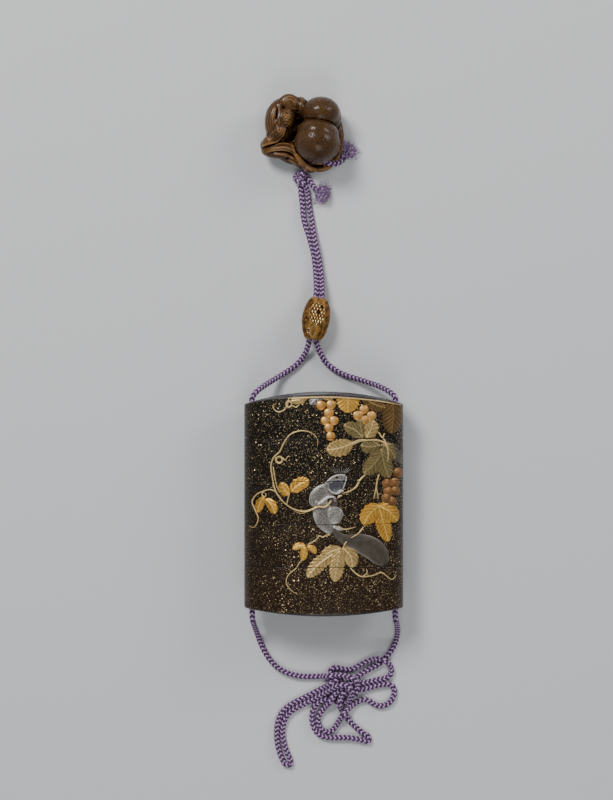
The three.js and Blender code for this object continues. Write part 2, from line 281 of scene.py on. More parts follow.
LOWER_HALF = [
    *LEFT_LOWER, *KNOT_IN, *UPPER_EAR, *KNOT_TO_RING, *RING, *LOWER_EAR, *KNOT_TO_TAIL, *TAIL,
    *KNOT_OVER, *BOTTOM_LOOP, *KNOT_OUT, *RIGHT_LOWER,
]
STRETCHES = [*LEFT_UPPER, *LEFT_CHANNEL, *LOWER_HALF, *RIGHT_CHANNEL, *RIGHT_UPPER, *HITCH]
ROUTE = [(x, y, *(height or [ON_GROUND])) for x, y, *height in STRETCHES]
print(len(ROUTE), "route points")

# %% [markdown]
# The points become one smooth line, sampled at even steps. Then the line is relaxed, as a real cord
# settles: wherever two strands come closer than one diameter they push each other apart, every step keeps
# its length, the whole sinks until it lies on the ground, and a soft pull keeps it near the drawn route.
# A physics engine could do this too. Thirty lines of arithmetic do it the same way on every run.

# %% Settle the cord
STEP = 0.7 * MM
SPAN_SAMPLES = 24  # of the smooth curve, from one point to the next
SETTLING_ROUNDS = 260
LENGTH_ROUNDS = 4  # how often the steps are put right in each round
STRAND_DISTANCE = 1.03 * CORD_DIAMETER
PUSH_SHARE = 0.22  # of the overlap, in one round
LONGEST_PUSH = 0.35 * MM
STIFFNESS = 0.16
PULL = 0.035  # back to the drawn route
SINK = 0.02 * MM
SAME_STRAND = 1.9 * CORD_DIAMETER  # samples nearer than this along the cord don't push
LENGTH_SHARE = 0.9  # of a wrong length that is put right at once
LOWEST = CORD_DIAMETER / 2 + 0.03 * MM
CASE_END = 43.5 * MM  # beyond it the cord is free


def step_lengths(line):
    return np.linalg.norm(np.diff(line, axis=0), axis=1)


def smooth_line(points, step):
    """Even samples on a centripetal Catmull-Rom curve through the points."""
    p = np.array(points, float)
    p = np.vstack([2 * p[0] - p[1], p, 2 * p[-1] - p[-2]])
    pieces = []
    for a, b, c, d in zip(p, p[1:], p[2:], p[3:]):
        t0, t1 = 0.0, np.linalg.norm(b - a) ** 0.5
        t2 = t1 + np.linalg.norm(c - b) ** 0.5
        t3 = t2 + np.linalg.norm(d - c) ** 0.5
        t = np.linspace(t1, t2, SPAN_SAMPLES, endpoint=False)[:, None]
        ab = (t1 - t) / (t1 - t0) * a + (t - t0) / (t1 - t0) * b
        bc = (t2 - t) / (t2 - t1) * b + (t - t1) / (t2 - t1) * c
        cd = (t3 - t) / (t3 - t2) * c + (t - t2) / (t3 - t2) * d
        abc = (t2 - t) / (t2 - t0) * ab + (t - t0) / (t2 - t0) * bc
        bcd = (t3 - t) / (t3 - t1) * bc + (t - t1) / (t3 - t1) * cd
        pieces.append((t2 - t) / (t2 - t1) * abc + (t - t1) / (t2 - t1) * bcd)
    return resample(np.vstack([*pieces, p[-2]]), step)


def resample(line, step):
    along = np.concatenate([[0], np.cumsum(step_lengths(line))])
    count = max(2, round(along[-1] / step) + 1)
    even = np.linspace(0, along[-1], count)
    return np.stack([np.interp(even, along, line[:, k]) for k in range(3)], axis=1)


def settle(line, held):
    """Pushes strands apart to one diameter, keeps the steps' length and lays the line on the ground."""
    drawn, line = line.copy(), line.copy()
    free = ~held
    step = step_lengths(line).mean()
    order = np.arange(len(line))
    distinct = np.abs(order[:, None] - order[None, :]) * step > SAME_STRAND
    for number in range(SETTLING_ROUNDS):
        cooling = 1 - number / SETTLING_ROUNDS
        between = line[:, None, :] - line[None, :, :]
        distance = np.linalg.norm(between, axis=2) + 1e-9
        close = distinct & (distance < STRAND_DISTANCE)
        overlap = (STRAND_DISTANCE - distance) / distance
        pushed = (np.where(close, overlap * PUSH_SHARE, 0)[:, :, None] * between).sum(axis=1)
        too_far = np.maximum(np.linalg.norm(pushed, axis=1) / LONGEST_PUSH, 1)
        line[free] += (pushed / too_far[:, None])[free]
        middle = (line[:-2] + line[2:]) / 2 - line[1:-1]
        line[1:-1][free[1:-1]] += STIFFNESS * middle[free[1:-1]]
        line[free, :2] += PULL * cooling * (drawn - line)[free, :2]
        line[free, 2] -= SINK * cooling
        for _ in range(LENGTH_ROUNDS):
            span = np.diff(line, axis=0)
            length = np.linalg.norm(span, axis=1)[:, None]
            fix = 0.5 * (length - step) / length * span
            line[:-1][free[:-1]] += fix[free[:-1]] * LENGTH_SHARE
            line[1:][free[1:]] -= fix[free[1:]] * LENGTH_SHARE
        line[:, 2] = np.maximum(line[:, 2], LOWEST)
    return line


drawn_line = smooth_line(np.array(ROUTE) * MM, STEP)
in_case = np.abs(drawn_line[:, 1]) < CASE_END
below = np.flatnonzero(drawn_line[:, 1] < -CASE_END)
bow = slice(below[0] - 4, below[-1] + 5)  # with a few held samples at each end
settled_line = drawn_line.copy()
settled_line[bow] = settle(drawn_line[bow], in_case[bow])
print("points of the bow that settled:", bow.stop - bow.start)

# %% [markdown]
# The cord, the strips of the picture, the bead and the fibres all start alike: a flat grid, moved onto a
# tube round some line. A cylinder with a twist in it would do for a straight one, but on a bent line the
# sides must not twist, so each ring's directions are carried over from the ring before.

# %% Grids wrapped round a line
def line_frames(line):
    """Side and up at each sample, turned as little as possible from one to the next."""
    tangents = np.gradient(line, axis=0)
    tangents /= np.linalg.norm(tangents, axis=1)[:, None]
    side = np.cross(tangents[0], (0, 0, 1))
    side /= np.linalg.norm(side)
    sides = []
    for tangent in tangents:
        side = side - tangent * (side @ tangent)
        side /= np.linalg.norm(side)
        sides.append(side)
    sides = np.array(sides)
    return sides, np.cross(sides, tangents)


def vertex_values(mesh, name="co"):
    """The place or the normal of every vertex, as rows of x, y and z."""
    values = np.zeros(len(mesh.vertices) * 3)
    mesh.vertices.foreach_get(name, values)
    return values.reshape(-1, 3)


def wrapped_grid(rings, around):
    """A grid, the ring of each vertex, and its shares of the way along and round.

    It has one more column than the tube has sides, so that its UV map closes on itself.
    """
    bm = bmesh.new()
    bmesh.ops.create_grid(bm, x_segments=rings - 1, y_segments=around, size=0.5, calc_uvs=False)
    mesh = mesh_of("grid", bm)
    along, share = vertex_values(mesh).T[:2] + 0.5
    return mesh, np.rint(along * (rings - 1)).astype(int), along, share


def wrap_round(mesh, line, ring, share, radius):
    """Moves a grid's vertices onto a tube round a line."""
    sides, ups = line_frames(line)
    angle = share * TURN
    outward = sides[ring] * np.cos(angle)[:, None] + ups[ring] * np.sin(angle)[:, None]
    mesh.vertices.foreach_set("co", (line[ring] + outward * radius).ravel())


def closed_tube(mesh, sides):
    """Joins a wrapped grid's seam and closes its two ends."""
    bm = bmesh.new()
    bm.from_mesh(mesh)
    bmesh.ops.remove_doubles(bm, verts=bm.verts, dist=0.002 * MM)
    bmesh.ops.holes_fill(bm, edges=[edge for edge in bm.edges if edge.is_boundary], sides=sides)
    bpy.data.meshes.remove(mesh)
    return bm


def write_uv(mesh, name, first, second):
    """Makes a UV map from two values at each vertex."""
    corner = np.zeros(len(mesh.loops), int)
    mesh.loops.foreach_get("vertex_index", corner)
    uv = mesh.uv_layers.new(name=name)
    uv.data.foreach_set("uv", np.stack([first, second], axis=1)[corner].ravel())


def named_mesh(name, bm, materials=()):
    bmesh.ops.recalc_face_normals(bm, faces=bm.faces)
    mesh = mesh_of(name, bm)
    for material in materials:
        mesh.materials.append(material)
    for face in mesh.polygons:
        face.use_smooth = True
    piece = bpy.data.objects.new(name, mesh)
    bpy.context.scene.collection.objects.link(piece)
    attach(piece, "root")
    return piece


print("helpers for tubes ready")

# %% [markdown]
# Round braid is twelve strands that wind both ways, each over two others and then under two. It could be
# a texture on a smooth tube, but its outline is knobbly and it catches the light strand by strand. So the
# tube is a fine grid, wrapped round the line, whose surface rises where a strand passes over.
#
# The two families of strands are two slanted coordinates, `a` and `b`. They are also the tube's UV map,
# so the material later knows which strand a point lies on.

# %% Wrap the braid round the line
BRAID_STRANDS = 6  # in each direction
BRAID_PITCH = 0.82 * MM  # from one strand to the next, along the cord
BRAID_HEIGHT = 0.22  # from between the strands to a crown, as a share of the cord's radius
BRAID_FLOOR = 0.84  # the radius between the strands, as the same share
CORD_SIDES = 30
VISIBLE_STEP = 0.22 * MM
HIDDEN_STEP = 1.2 * MM
FINE_STEP = 0.05 * MM
LINE_STEP = 0.3 * MM
HIDDEN_Y = 37 * MM  # nearer the case's middle than this, the cord is out of sight


def uneven_samples(line):
    """Close samples where the cord shows, and wide ones inside the case's channels."""
    fine = resample(line, FINE_STEP)
    hidden = np.abs(fine[:, 1]) < HIDDEN_Y
    hidden &= np.abs(np.abs(fine[:, 0]) - CHANNEL_X * MM) < 0.5 * MM
    stride = np.where(hidden, FINE_STEP / HIDDEN_STEP, FINE_STEP / VISIBLE_STEP)
    count = np.floor(np.cumsum(stride))
    keep = np.concatenate([[True], np.diff(count) > 0])
    keep[-1] = True
    along = np.arange(len(fine)) * FINE_STEP
    return fine[keep], along[keep]


def over_and_under(a, b):
    """How high the braid stands, from 0 between strands to 1 on the crown of the upper one."""
    over = (np.floor(a) + np.floor(b)) % 4 < 2
    upper = np.where(over, a, b)
    lower = np.where(over, b, a)
    across = upper % 1 * 2 - 1
    lengthwise = (lower + np.floor(upper)) % 2 - 1
    return np.sqrt(np.maximum(1 - across**2, 0)) * (1 - 0.45 * lengthwise**2)


def make_cord():
    line, along = uneven_samples(smoothed_line)
    mesh, ring, _, share = wrapped_grid(len(line), CORD_SIDES)
    a = share * BRAID_STRANDS + along[ring] / BRAID_PITCH
    b = share * BRAID_STRANDS - along[ring] / BRAID_PITCH
    radius = CORD_DIAMETER / 2 * (BRAID_FLOOR + BRAID_HEIGHT * over_and_under(a, b))
    wrap_round(mesh, line, ring, share, radius[:, None])
    write_uv(mesh, "braid", a, b)
    return named_mesh("silk_cord", closed_tube(mesh, CORD_SIDES))


smoothed_line = smooth_line(resample(settled_line, CORD_DIAMETER), LINE_STEP)
cord = make_cord()
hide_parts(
    "cord_left_upper", "cord_left_channel", "cord_left_lower", "cord_bow",
    "cord_right_lower", "cord_right_channel", "cord_right_upper",
)

# %% [markdown]
# Dyed silk is soft and slightly shiny along its threads. Painting flecks on the cord would float free of
# the weave, so the colour follows the same two slanted coordinates. They say which strand is on top, and
# every other strand of each family is lilac and the rest deep purple, so chevrons run along the cord. Each
# strand is also painted paler towards its crown, a painted highlight.

# %% Silk
DEEP_PURPLE = (0.016, 0.004, 0.026)
MID_PURPLE = (0.085, 0.024, 0.118)
MIDDLE_LILAC = (0.25, 0.100, 0.30)
PALE_LILAC = (0.85, 0.58, 0.91)
THREADS = 7  # fine lines along each strand


def silk_finish():
    silk = Finish("silk_braid", roughness=0.6, sheen_weight=0.15, sheen_roughness=0.4)
    a, b = silk.uv("braid")
    turn = silk.math("ADD", silk.math("FLOOR", a), silk.math("FLOOR", b))
    second_on_top = silk.math("GREATER_THAN", silk.math("FLOORED_MODULO", turn, 4.0), 1.5)
    upper = silk.blend(second_on_top, a, b)
    lower = silk.blend(second_on_top, b, a)
    strand = silk.math("FLOOR", upper)
    dark_strand = silk.math("FLOORED_MODULO", strand, 2.0)
    across = silk.math("FRACT", upper)
    off_middle = silk.math("ABSOLUTE", silk.math("SUBTRACT", across, 0.5))
    lengthwise = silk.math("FLOORED_MODULO", silk.math("ADD", lower, strand), 2.0)
    off_crown = silk.math("ABSOLUTE", silk.math("SUBTRACT", lengthwise, 1.0))
    # painted highlight: every strand, lilac or purple, is painted paler towards its crown
    crown = silk.times(silk.step(off_middle, 0.44, 0.10), silk.step(off_crown, 1.0, 0.4))
    fibre = silk.noise(silk.here(), 9000.0, 1.0)
    pale = silk.mix(crown, MIDDLE_LILAC, PALE_LILAC)
    dark = silk.mix(silk.times(crown, 0.7), DEEP_PURPLE, MID_PURPLE)
    dyed_with_painted_highlight = silk.mix(dark_strand, pale, dark)
    silk.set(base_color=silk.mix(silk.times(fibre, 0.35), dyed_with_painted_highlight, DEEP_PURPLE))
    threads = silk.math("SINE", silk.times(across, THREADS * TURN))
    silk.bump(threads, 0.03 * MM, 0.6)
    return silk.material


cord.data.materials.append(silk_finish())
print("silk on the cord")

# %% [markdown]
# The case is made of five shells that fit into each other: a lid, three trays and a base. Each tray has a
# floor, a thin collar that stands up into the piece above, and a socket below. Real ones are built up from
# wood or paper shaped on an oval former. Here one oval loop is drawn out along the same profile: extrude
# the loop, scale it, move it, and do so again. The two ends are gently domed, like a cushion.

# %% Case shells
OVAL_X, OVAL_Z = 30, 12  # half the case's width and half its depth, in mm
HALF_WIDTH, HALF_DEPTH = OVAL_X * MM, OVAL_Z * MM
AXIS = HALF_DEPTH  # the case lies on its back, so its middle is half its depth above the ground
SEAM_TOP = 25.3 * MM
TRAY_PITCH = 16 * MM
SEAMS = [SEAM_TOP - number * TRAY_PITCH for number in range(4)]
SEAM_GAP = 0.16 * MM
OVAL_SIDES = 192
RISER_HALF_WIDTH, RISER_HALF_DEPTH = 23.6 * MM, 10.6 * MM
RISER_WALL = 1 * MM
RISER_HEIGHT = 6 * MM
RISER_ROUNDING = 0.25 * MM
SOCKET_PLAY = 0.25 * MM
FLOOR_THICKNESS = 1.2 * MM
LID_CEILING, BASE_FLOOR = 38.2 * MM, -38.4 * MM
CHANNEL_RADIUS = 1.45 * MM
RIM_ROUNDING = 0.5 * MM
SEAM_ROUNDING = 0.09 * MM
CROWN_SHARES = (0.97, 0.92, 0.84, 0.74, 0.62, 0.48, 0.33, 0.17, 0.05)
LID_TOP, BASE_BOTTOM = 42.8, -41.8  # the highest and the lowest point of the case, in mm
DOME_RISE, DOME_DEPTH = 60, 57.6  # the ends are caps of these ellipsoids, in mm
LID_DOME_WIDTH, BASE_DOME_WIDTH = 77.5, 93


def dome_drop(x, z, width):
    """How far an end has fallen away from its outermost point, at x and z from there, all in mm."""
    return DOME_RISE * (1 - np.sqrt(1 - (x / width) ** 2 - (z / DOME_DEPTH) ** 2))


def lid_crown(x, z):
    return (LID_TOP - dome_drop(x / MM, (z - AXIS) / MM, LID_DOME_WIDTH)) * MM


def base_crown(x, z):
    return (BASE_BOTTOM + dome_drop(x / MM, (z - AXIS) / MM, BASE_DOME_WIDTH)) * MM


class Loft:
    """Draws one oval out along a profile. Each loop is (half width, half depth, height or a function)."""

    def __init__(self, half_width, half_depth, y):
        self.bm = bmesh.new()
        upright = Matrix.Rotation(math.pi / 2, 4, "X")
        place = Matrix.Translation((0, 0, AXIS)) @ Matrix.Diagonal((half_width, 1, half_depth, 1)) @ upright
        bmesh.ops.create_circle(self.bm, cap_ends=True, segments=OVAL_SIDES, radius=1, matrix=place)
        self.edges = list(self.bm.edges)
        self.size = (half_width, half_depth)
        self.rounded = []
        self.set_height(self.bm.verts, y)

    def set_height(self, verts, y):
        for vert in verts:
            vert.co.y = y(vert.co.x, vert.co.z) if callable(y) else y

    def to(self, half_width, half_depth, y, rounding=0.0):
        made = bmesh.ops.extrude_edge_only(self.bm, edges=self.edges)["geom"]
        verts = [part for part in made if isinstance(part, bmesh.types.BMVert)]
        self.edges = [part for part in made if isinstance(part, bmesh.types.BMEdge)]
        grow = (half_width / self.size[0], 1, half_depth / self.size[1])
        middle = Matrix.Translation((0, 0, -AXIS))
        bmesh.ops.scale(self.bm, vec=grow, space=middle, verts=verts)
        self.set_height(verts, y)
        self.size = (half_width, half_depth)
        if rounding:
            self.rounded.append((self.edges, rounding))
        return self

    def crown(self, y, shares):
        for share in shares:
            rounding = RIM_ROUNDING if share == 1 else 0
            self.to(HALF_WIDTH * share, HALF_DEPTH * share, y, rounding)
        return self

    def closed(self):
        bmesh.ops.contextual_create(self.bm, geom=self.edges)
        for edges, rounding in self.rounded:
            bmesh.ops.bevel(
                self.bm, geom=edges, offset=rounding, segments=4, profile=0.5, affect="EDGES", material=-1,
            )
        return self.bm


print("seams at", [round(seam / MM, 1) for seam in SEAMS], "mm")

# %% [markdown]
# A tray's wall could be one thickness all round. But the collar below has to slide in, so each profile
# goes from the socket's ceiling, out round the wall, over its own collar and down to the floor inside.

# %% The five shells
def with_riser(loft, seam, floor):
    """From the outer wall up over the collar and down to the floor inside."""
    width, depth = RISER_HALF_WIDTH, RISER_HALF_DEPTH
    loft.to(HALF_WIDTH, HALF_DEPTH, seam - SEAM_GAP / 2, SEAM_ROUNDING)
    loft.to(width, depth, seam - SEAM_GAP / 2)
    loft.to(width, depth, seam + RISER_HEIGHT, RISER_ROUNDING)
    loft.to(width - RISER_WALL, depth - RISER_WALL, seam + RISER_HEIGHT, RISER_ROUNDING)
    return loft.to(width - RISER_WALL, depth - RISER_WALL, floor)


def with_socket(ceiling, seam):
    """From the ceiling of the socket down to its rim and out to the outer wall."""
    width, depth = RISER_HALF_WIDTH + SOCKET_PLAY, RISER_HALF_DEPTH + SOCKET_PLAY
    loft = Loft(width, depth, ceiling).to(width, depth, seam + SEAM_GAP / 2)
    return loft.to(HALF_WIDTH, HALF_DEPTH, seam + SEAM_GAP / 2, SEAM_ROUNDING)


def lid_shell():
    return with_socket(LID_CEILING, SEAMS[0]).crown(lid_crown, (1, *CROWN_SHARES)).closed()


def tray_shell(number):
    ceiling = SEAMS[number] + RISER_HEIGHT + SOCKET_PLAY
    loft = with_socket(ceiling, SEAMS[number])
    return with_riser(loft, SEAMS[number - 1], ceiling + FLOOR_THICKNESS).closed()


def base_shell():
    smallest = CROWN_SHARES[-1]
    loft = Loft(HALF_WIDTH * smallest, HALF_DEPTH * smallest, base_crown)
    loft.crown(base_crown, (*CROWN_SHARES[-2::-1], 1))
    return with_riser(loft, SEAMS[3], BASE_FLOOR).closed()


shells = {
    "lid": lid_shell(), "tray_1": tray_shell(1), "tray_2": tray_shell(2), "tray_3": tray_shell(3),
    "base_tray": base_shell(),
}
print({name: len(bm.faces) for name, bm in shells.items()})

# %% [markdown]
# The black ground is true lacquer, many thin polished coats, and warmer towards the base. Flakes of gold
# leaf were strewn in drifts in the wet top coats and sealed under clear lacquer. Each flake lies at its
# own slant, so single ones flash. Those towards the right are painted brighter and those on the left
# dimmer, a painted light. Scattered discs would be hundreds of thousands of faces, so the flakes are cells
# of a distorted Voronoi pattern through the solid: where a cell's heart is near the surface, there is a
# flake, and its random colour also tips its normal. The crowns, seams and insides are plain black.

# %% Lacquer
LACQUER_BLACK = (0.0030, 0.0022, 0.0016)
LACQUER_WARM = (0.020, 0.0085, 0.0035)
FLAKE_DULL = (0.105, 0.062, 0.022)
FLAKE_BRIGHT = (0.80, 0.62, 0.33)


def plain_lacquer():
    black = Finish("lacquer_plain", coat_roughness=0.10)
    facing = black.add("LayerWeight", {"Blend": 0.5}, output="Facing")
    gloss = black.step(facing, 0.97, 0.80)
    black.set(coat_weight=black.times(gloss, 0.8))
    black.set(specular_ior_level=black.times(gloss, 0.3))
    wear = black.noise(black.here(), 260.0, 4.0)
    black.set(base_color=black.mix(black.step(wear, 0.35, 0.8), LACQUER_BLACK, (0.020, 0.016, 0.014)))
    black.set(roughness=black.step(wear, -0.9, 1.9))
    return black.material


def flake_layer(finish, place, cell, low, high):
    """How much flake there is at a point, and that flake's random colour."""
    inputs = {"Vector": place, "Scale": 1 / cell}
    distance = finish.add("TexVoronoi", inputs, output="Distance")
    chance = finish.add("TexVoronoi", inputs, output="Color")
    return finish.step(distance, high, low), chance


def flaked_lacquer():
    ground = Finish("lacquer_gold_flakes", coat_weight=0.2, coat_roughness=0.12, specular_ior_level=0.18)
    here = ground.here()
    wander = ground.add("TexNoise", {"Vector": here, "Scale": 1500.0, "Detail": 2.0}, output="Color")
    shake = ground.add("VectorMath", {0: wander, 3: 0.00055}, operation="SCALE")
    place = ground.add("VectorMath", {0: here, 1: shake}, operation="ADD")
    large, large_chance = flake_layer(ground, place, 0.80 * MM, 0.22, 0.30)
    small, small_chance = flake_layer(ground, place, 0.44 * MM, 0.20, 0.30)
    clusters = ground.noise(here, 110.0, 3.0)
    large = ground.times(large, ground.step(clusters, 0.33, 0.52))
    # painted light: flakes dimmer towards the left and brighter towards the right
    painted_light_towards_right = ground.step(ground.split(here)["X"], -32 * MM, 4 * MM)
    downwards = ground.step(ground.split(here)["Y"], 25 * MM, -40 * MM)
    flake = ground.math("MAXIMUM", large, small)
    brightness = ground.tree.nodes.new("ShaderNodeSeparateColor")
    chance = ground.mix(large, small_chance, large_chance)
    ground.feed(brightness.inputs[0], chance)
    shine = ground.math("POWER", brightness.outputs[0], 2.2)
    # each flake's random brightness, times the painted light towards the right
    shine = ground.times(shine, ground.math("ADD", ground.times(painted_light_towards_right, 0.6), 0.4))
    gold = ground.mix(shine, FLAKE_DULL, FLAKE_BRIGHT)
    black = ground.mix(ground.times(downwards, 0.8), LACQUER_BLACK, LACQUER_WARM)
    ground.set(base_color=ground.mix(flake, black, gold))
    ground.set(metallic=ground.times(flake, 0.75))
    ground.set(roughness=ground.blend(flake, 0.35, 0.28))
    tipped = ground.add("VectorMath", {0: chance, 1: (0.5, 0.5, 0.5)}, operation="SUBTRACT")
    amount = ground.times(flake, 0.9)
    slant = ground.add("VectorMath", {0: tipped, 3: amount}, operation="SCALE")
    straight = ground.add("NewGeometry", {}, output="Normal")
    tilted = ground.add("VectorMath", {0: straight, 1: slant}, operation="ADD")
    ground.set(normal=ground.add("VectorMath", {0: tilted}, operation="NORMALIZE"))
    return ground.material


lacquers = (plain_lacquer(), flaked_lacquer())
print("lacquers:", [material.name for material in lacquers])

# %% [markdown]
# The cord runs through the case in two long channels, one near each end of the oval. Each tray could have
# its own holes, but they would have to line up. It is simpler to bore all five with the same two bars.

# %% Bore and lacquer the shells
CHANNEL_SIDES = 28
CUTTER_LENGTH = 100 * MM
WALL_SHARE = 0.985  # of the oval: nearer its middle than this is not the outer wall
SHARP_ANGLE = math.radians(35)


def loose_object(name, bm):
    return bpy.data.objects.new(name, mesh_of(name, bm))


def channel_cutter():
    """Two long round bars where the cord runs through the case."""
    bm = bmesh.new()
    for x in (-CHANNEL_X, CHANNEL_X):
        place = Matrix.Translation((x * MM, 0, AXIS)) @ Matrix.Rotation(math.pi / 2, 4, "X")
        bmesh.ops.create_cone(
            bm, cap_ends=True, segments=CHANNEL_SIDES, radius1=CHANNEL_RADIUS, radius2=CHANNEL_RADIUS,
            depth=CUTTER_LENGTH, matrix=place,
        )
    return loose_object("channels", bm)


def bake(piece):
    """Replaces a piece's mesh by what its modifiers make of it."""
    evaluated = piece.evaluated_get(bpy.context.evaluated_depsgraph_get())
    result = bpy.data.meshes.new_from_object(evaluated)
    piece.modifiers.clear()
    old = piece.data
    piece.data = result
    bpy.data.meshes.remove(old)


def cut_with(piece, cutter):
    bpy.context.scene.collection.objects.link(cutter)
    modifier = piece.modifiers.new("cut", "BOOLEAN")
    modifier.object = cutter
    modifier.operation = "DIFFERENCE"
    modifier.solver = "EXACT"
    bake(piece)
    bpy.context.scene.collection.objects.unlink(cutter)


def on_outer_wall(place):
    return (place.x / HALF_WIDTH) ** 2 + ((place.z - AXIS) / HALF_DEPTH) ** 2 > WALL_SHARE


def make_shell(name, bm, cutter, materials):
    shell = named_mesh(name + "_shell", bm, materials)
    cut_with(shell, cutter)
    for face in shell.data.polygons:
        along_wall = abs(face.normal.y) < 0.2 and on_outer_wall(face.center)
        face.material_index = 1 if along_wall else 0
    shell.data.set_sharp_from_angle(angle=SHARP_ANGLE)
    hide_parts(name)


channels = channel_cutter()
for name, bm in shells.items():
    make_shell(name, bm, channels, lacquers)
bpy.data.objects.remove(channels)
print("five shells cut and lacquered")

# %% [markdown]
# The picture is takamaki-e: lacquer built up in relief, then dusted with gold and silver powder of several
# tones. A grape vine hangs from the upper right and a squirrel sits in its tendrils. The joints of the
# case cut straight through the picture, because it was made with the case closed.
#
# Everything is drawn flat first, in millimetres across (x) and up (y) the front, then bent onto the oval
# wall. One kind of strip makes it all: a soft cushion swept along a curved line, whose half width, height
# and carving can change along the way. A thin one is a tendril, and a wide one with veins is a leaf lobe.

# %% Relief strips
SUNK = 0.18  # how far a strip's underside lies below the surface, in mm
EDGE_INSET = 0.45  # relief ends this far inside the rim of the case, in mm
GRAIN, SMOOTH_GRAIN = 0.13, 0.3  # size of a face where there are veins or fur, and elsewhere, in mm
RELIEF_REACH = 29.2  # the picture ends this far to each side of the middle
rng = np.random.default_rng(7)


def bell(distance, width):
    """1 on a line, falling to nothing about twice that width away."""
    return np.exp(-((distance / width) ** 2))


def curve_through(points, count):
    """Even samples of a smooth flat curve."""
    spread = np.array([(x, y, 0) for x, y in points], float)
    line = smooth_line(spread, 0.05)
    along = np.linspace(0, 1, len(line))
    even = np.linspace(0, 1, count)
    return np.stack([np.interp(even, along, line[:, k]) for k in range(2)], axis=1)


def bend(x, y, height, back=False):
    """From flat millimetres and a height above the wall to a place in the frame, in metres."""
    x = np.clip(x, -RELIEF_REACH, RELIEF_REACH)
    side = -1 if back else 1
    z = OVAL_Z * np.sqrt(1 - (x / OVAL_X) ** 2)
    rim_top = LID_TOP - dome_drop(x, z, LID_DOME_WIDTH) - EDGE_INSET
    rim_base = BASE_BOTTOM + dome_drop(x, z, BASE_DOME_WIDTH) + EDGE_INSET
    y = np.clip(y, rim_base, rim_top)
    normal = np.stack([x / OVAL_X**2, z / OVAL_Z**2], axis=1)
    normal /= np.linalg.norm(normal, axis=1)[:, None]
    across = x + normal[:, 0] * height
    up = z + normal[:, 1] * height
    return np.stack([across * MM, y * MM, AXIS + side * up * MM], axis=1)


def shape_element(mesh, places, vein, shade, colour):
    mesh.vertices.foreach_set("co", places.ravel())
    write_uv(mesh, "carving", vein, shade)
    mesh.polygons.foreach_set("material_index", np.full(len(mesh.polygons), colour))


def strip(points, half_widths, height, colour, lift=0.0, carve=None, fine=False, back=False):
    """A closed cushion along a line: (vein, shade) go into its "carving" UV map for the finish."""
    length = step_lengths(np.array(points, float)).sum()
    grain = GRAIN if fine else SMOOTH_GRAIN
    rings = int(np.clip(length / grain, 10, 150))
    top_columns = int(np.clip(2 * max(half_widths) / grain, 6, 64))
    columns = top_columns + 4
    line = curve_through(points, rings)
    tangent = np.gradient(line, axis=0)
    tangent /= np.linalg.norm(tangent, axis=1)[:, None] + 1e-12
    side = np.stack([-tangent[:, 1], tangent[:, 0]], axis=1)
    stations = np.linspace(0, 1, len(half_widths))
    widths = np.interp(np.linspace(0, 1, rings), stations, half_widths)
    mesh, ring, _, share = wrapped_grid(rings, columns)
    column = np.rint(share * columns).astype(int) % columns  # the last one closes the ring
    on_top = column <= top_columns
    across = np.where(on_top, 1 - 2 * column / top_columns, -1 + 2 * (column - top_columns) / 4)
    along = ring / (rings - 1)
    width = widths[ring]
    dome = np.sqrt(np.maximum(1 - np.abs(across) ** 2.6, 0))  # a little fuller than round
    ends = np.sqrt(np.clip(np.minimum(along, 1 - along) * length / (1.2 * height + 0.15), 0, 1))
    # without carving, the vein value is a painted highlight along the strip's crest
    vein = 0.8 * (1 - across**2)
    rise = np.zeros(len(along))
    margin = np.ones(len(along))
    if carve:
        vein, rise, margin = carve(along, across, width, length)
    place = line[ring] + side[ring] * (across * width * margin)[:, None]
    upper = lift + (height * dome + rise * dome) * ends
    level = np.where(on_top, upper, -SUNK)
    # towards each side the shade value rises: the gold finishes turn it into painted shade at the relief's
    # edge, the silver ones into a pale painted highlight
    rim = np.abs(across) ** 5
    shade = np.clip(0.5 + 0.5 * rim, 0, 1) if carve else 0.5 * rim + 0.3
    shape_element(mesh, bend(place[:, 0], place[:, 1], level, back), vein, shade, colour)
    return mesh


print("relief strips: faces of", GRAIN, "or", SMOOTH_GRAIN, "mm")

# %% [markdown]
# A grape leaf is a fan of lobes. Each lobe has a midrib, side veins that leave it at a slant, and a
# scalloped edge. The veins could be drawn one by one; a repeating slanted pattern puts them all in.

# %% Leaves, tendrils and grapes
(BRIGHT_GOLD, BROWN_GOLD, GREY_GOLD, PALE_GOLD, PEACH, COPPER,
 SILVER, DARK_SILVER, BLUE_SILVER, EYE) = range(10)
elements = {"gold_relief": [], "silver_relief": []}


def leaf_carving(veins):
    def carve(along, across, width, length):
        off = np.abs(across) * width
        midrib = bell(off, 0.16)
        phase = (along * length - off * (1.15 - 0.10 * off)) / length * veins + 0.2
        near = (phase % 1) - 0.5
        spacing = length / veins
        side_vein = bell(near * spacing, 0.15) * np.clip(1.2 - np.abs(across), 0, 1)
        vein = np.maximum(midrib, 0.85 * side_vein)
        hollow = 0.10 * np.cos(near * TURN) * np.clip(off, 0, 1)
        margin = 1 + 0.09 * np.cos(phase * TURN) * np.clip(np.abs(across), 0, 1) ** 2
        return vein, 0.14 * vein - hollow * 0.7, margin
    return carve


LOBE_SHAPE = np.array([0.18, 0.58, 0.88, 1.0, 1.0, 0.98, 0.88, 0.66, 0.18])


def lobe(base, tip, half_width, colour, lift=0.0, bow=0.0, height=0.38, slot="gold_relief", back=False):
    """One lobe from its base to its tip, bowed sideways by a part of its length."""
    base, tip = np.array(base, float), np.array(tip, float)
    way = tip - base
    side = np.array([-way[1], way[0]])
    points = [base, base + way * 0.5 + side * bow, tip]
    veins = max(4, round(np.linalg.norm(way) / 1.6))
    mesh = strip(
        points, LOBE_SHAPE * half_width, height, colour, lift, leaf_carving(veins), fine=True, back=back,
    )
    elements[slot].append(mesh)


def tendril(points, half_width=0.32, colour=PALE_GOLD, lift=0.0, height=0.34, back=False):
    widths = np.array([0.8, 1, 1, 0.95, 0.85, 0.7, 0.35]) * half_width
    elements["gold_relief"].append(strip(points, widths, height, colour, lift, back=back))


